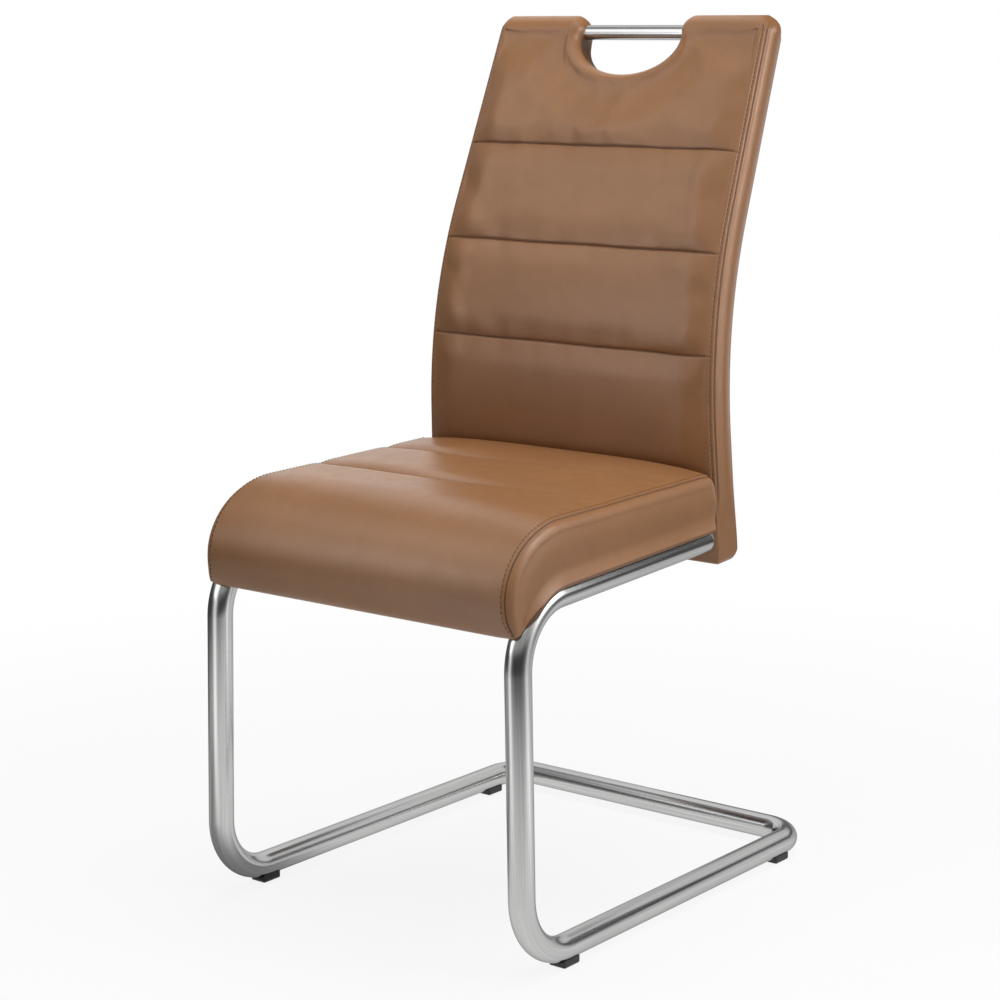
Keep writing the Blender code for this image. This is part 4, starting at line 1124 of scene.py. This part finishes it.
def facing(points, row, column, axis):
    """Direction square to a grid's rows and columns, along an axis where row and column meet."""
    out = unit(np.cross(np.gradient(points, axis=1), np.gradient(points, axis=0)))
    return out * np.sign(out[row, column, axis])


rim_points = back_grids[1][0]
rim_out = facing(rim_points, len(rim_points) // 2, len(back_grid.low_rows) // 2, 0)
stitched = RIM_TURNS.index(round(math.degrees(STITCH_TURN)))
up = np.arange(int(np.searchsorted(back_grid.low_rows, STITCH_START)), back_grid.rows)
down = 2 * back_grid.rows + back_grid.across - 3 - up[::-1]
add_stitches("back_stitches", rim_points, rim_out, [(stitched, up), (stitched, down)])

seat_out = facing(seat_points, len(fine_rows) // 2, len(fine_girth) // 2, 2)
tops = np.flatnonzero((seat_row > -0.98) & (seat_row < SEAT_RUN - SEAT_REAR_R * 0.6))
tops = tops[np.diff(seat_row[tops], prepend=-2) > 1e-9]
columns = [np.abs(fine_girth - girth).argmin() for girth in (-SEAT_STITCH_GIRTH, SEAT_STITCH_GIRTH)]
add_stitches("seat_stitches", seat_points, seat_out, [(tops, column) for column in columns])


# --- dust cover


def dust_sheet():
    """Thin cloth under the seat board: flat along the rails, bent round the nose.

    It sags a little in bands between the rails.
    """
    flat = np.linspace(0, SEAT_RUN - SKIN, 40)
    row = np.concatenate([np.linspace(-DUST_WRAP, 0, 24)[:-1], flat])
    across = np.linspace(-1, 1, 41)
    low = seat_lines(row)[0]
    above = np.gradient(low, axis=0)
    above = unit(pairs(-above[:, 1], above[:, 0]))
    x = np.broadcast_to(across * (SEAT_HEM_HALF - SKIN), (len(row), 41))
    sag = DUST_SAG * np.sin(math.pi * (across + 1) * 3) ** 2
    layers = []
    for lift in (0.0, DUST_T):
        yz = low[:, None] + above[:, None] * (lift - sag * (lift == 0))[:, None]
        layers.append(np.concatenate([x[..., None], yz], axis=-1))
    under, over = layers
    rim = [np.stack([under[0], over[0]]), np.stack([under[-1], over[-1]])]
    rim += [np.stack([under[:, 0], over[:, 0]]), np.stack([under[:, -1], over[:, -1]])]
    return [(grid, 0.0) for grid in [under, over, *rim]]


dust = add_piece("seat_dust_sheet", dust_sheet(), DUST_CLOTH)
fit(dust, "dust_cloth", "seat_dust_cover")


# --- carried-over solids

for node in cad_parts.values():
    for slot in node.material_slots:
        slot.material = FINISHES[slot.material.name.split(".")[0]]


# --- studio


def direct_rays(tree):
    """1 for rays from the camera, off a gloss or through something clear, else 0."""
    path = Socket(tree).make("LightPath").socket.node
    kinds = ("Camera", "Glossy", "Transmission")
    camera_ray, glossy, clear = (Socket(tree, path.outputs[f"Is {kind} Ray"]) for kind in kinds)
    return camera_ray + glossy + clear


def paper_floor():
    """White sweep: direct rays see it white, dimmed where the chair's shadow falls."""
    made, start = material("paper_floor")
    shader = made.node_tree.nodes["Principled BSDF"]
    wire(shader, Base_Color=tone(0.88, 0.88, 0.88), Roughness=0.8)
    paper = Socket(made.node_tree, shader.outputs[0])
    white = start.make("Emission", Color=tone(1, 1, 1), Strength=1.0)
    place = start.make("TexCoord", out=3)
    away = place.make("VectorMath", {"operation": "LENGTH"}, 1, Vector=place)
    share = direct_rays(made.node_tree) * (0.87 + 0.13 * away.above(0.5, 1.6))
    start.make("MixShader", Fac=share, Shader=paper, Shader_001=white).show()
    return made


reach = np.linspace(0.0, 14.0, 3)
round_floor = np.linspace(0, 2 * math.pi, 65)
floor_grid = np.zeros((3, 65, 3))
floor_grid[..., 0] = reach[:, None] * np.cos(round_floor)
floor_grid[..., 1] = reach[:, None] * np.sin(round_floor)
floor_points, floor_quads, _ = joined([(floor_grid, 0.0)])
floor = placed("floor", mesh_of("floor", floor_points, floor_quads))
floor.data.materials.append(paper_floor())


CAMERA_TURN = math.radians(37.97)
CAMERA_DOWN = math.radians(10.82)
WALL_TOP = 1.3
WALL_REACH = 0.95
DOME_RISE = 0.9
AHEAD_GLOW = [
    (-0.5, 0.9), (0, 0.75), (0.10, 0.50), (0.16, 0.14), (0.22, 0.05), (0.48, 0.05), (0.62, 0.40),
    (0.92, 0.45), (1.02, 1.0), (1.34, 1.0), (1.46, 0.3), (1.66, 0.3), (1.80, 0.85), (2.2, 0.85),
]
BEHIND_GLOW = [(-0.5, 0.9), (0, 0.8), (0.15, 0.7), (0.24, 0.07)]


def studio_cards():
    """Cards round the set that only reflections see: a strip of floor, an upright wall, then a dome.

    Places are degrees to the side of the camera and levels, in metres above the floor or, below
    0, in from the wall. Straight ahead the wall is pale at the floor, dark above it and bright at
    head height, and the dome starts dark and ends pale. Behind on the right the wall is dark with
    one pale board. Bell-shaped bands stand for boards left and right, a window high on the left,
    a small board under it and a small lamp high on the right. On the left, the floor and a band at
    head height are darker.
    """
    turn = np.radians(np.linspace(-150, 165, 159))
    dome = WALL_TOP + DOME_RISE * np.sin(np.linspace(0, math.pi / 2, 25)[1:])
    level = [np.linspace(-0.8, 0, 33)[:-1], np.linspace(0, WALL_TOP, 53), dome]
    level = np.concatenate(level)[:, None]
    over = (level - WALL_TOP).clip(0) / DOME_RISE
    reach = WALL_REACH * np.sqrt(np.clip(1 - over**2, 0, 1)) + np.minimum(level, 0)
    x, y = reach * np.sin(CAMERA_TURN + turn), -reach * np.cos(CAMERA_TURN + turn)
    points = np.stack([x, y, np.maximum(level, 0.003) * np.ones_like(turn)], axis=-1)
    side = np.degrees(turn)

    def spot(side_at, level_at, wide, tall):
        return peak((side - side_at) / wide) * peak((level - level_at) / tall)

    def band(low, rise, high, fall):
        return eased((level - low) / rise) * eased((high - level) / fall)

    ahead = np.interp(level, *np.transpose(AHEAD_GLOW))
    behind = np.interp(level, *np.transpose(BEHIND_GLOW))
    behind = behind + 0.8 * eased((side - 101) / 8) * band(0.3, 0.1, 1.05, 0.1)
    glow = ahead + (0.07 - 0.75 * ahead) * eased((-side - 85) / 30)
    glow = glow + (behind - ahead) * eased((side - 80) / 10)
    raised = eased((level - 0.42) / 0.12)
    below = 1 - eased((level - 0.95) / 0.15)
    left = (1.05 + 1.4 * raised) * peak((side + 55 + 11 * raised) / (12 + raised)) * below
    right = (0.8 + 2.0 * raised) * peak((side - 56 - 14 * raised) / (17 + 3 * raised)) * below
    right = right * (1 - eased((side - 79) / 10))
    window = 1.6 * peak((side + 85) / 25) * band(1.12, 0.2, 1.85, 0.15)
    lamp = 13.0 * spot(66, 1.15, 12, 0.15)
    board = 1.3 * spot(-67, 0.82, 8, 0.12)
    glow = glow + left + right + window + lamp + board
    glow = glow + (0.9 - glow) * np.clip(-level / 0.5, 0, 1)
    glow = glow * (1 - 0.68 * peak((side + 78) / 20) * eased((0.14 - level) / 0.25))
    glow = glow * (1 - 0.6 * spot(-72, 1.06, 16, 0.08))
    flat, quads, _ = joined([(points, 0.0)])
    mesh = mesh_of("studio_cards", flat, quads)
    set_values(mesh, "glow", glow)
    made, start = material("grey_card")
    shade = start.make("Attribute", {"attribute_name": "glow"}, 2)
    start.make("Emission", Color=tone(1, 1, 1), Strength=shade).show()
    mesh.materials.append(made)
    cards = placed("studio_cards", mesh)
    for rays in ("camera", "diffuse", "transmission", "shadow"):
        setattr(cards, "visible_" + rays, False)
    return cards


studio_cards()


def soft_box(name, place, size, power):
    """Oblong lamp aimed at the chair's middle, not seen in reflections."""
    lamp = bpy.data.lights.new(name, "AREA")
    lamp.shape = "RECTANGLE"
    lamp.size, lamp.size_y = size
    lamp.energy = power
    lit = placed(name, lamp)
    lit.location = place
    lit.rotation_euler = (Vector(MIDDLE) - Vector(place)).to_track_quat("-Z", "Y").to_euler()
    lit.visible_glossy = False


MIDDLE = (0.0, 0.0, 0.5)
soft_box("overhead", (0.2, 0.05, 2.7), (2.2, 2.2), 51)
soft_box("left_front", (-1.2, -1.8, 2.2), (1.0, 1.0), 6.5)
soft_box("right_side", (2.2, 0.1, 1.7), (1.0, 1.6), 17)

world = bpy.data.worlds.new("studio")
scene.world = world
world.use_nodes = True
strength = 0.15 + 0.85 * direct_rays(world.node_tree)
backdrop = world.node_tree.nodes["Background"]
backdrop.inputs["Color"].default_value = tone(1, 1, 1)
world.node_tree.links.new(strength.socket, backdrop.inputs["Strength"])

camera_data = bpy.data.cameras.new("camera")
camera_data.lens = 88.6
camera_data.sensor_width = 36
camera = placed("camera", camera_data)
camera.location = (1.6438, -2.1358, 0.9502)
camera.rotation_euler = (math.pi / 2 - CAMERA_DOWN, 0, CAMERA_TURN)
scene.camera = camera

scene.view_settings.view_transform = "Standard"
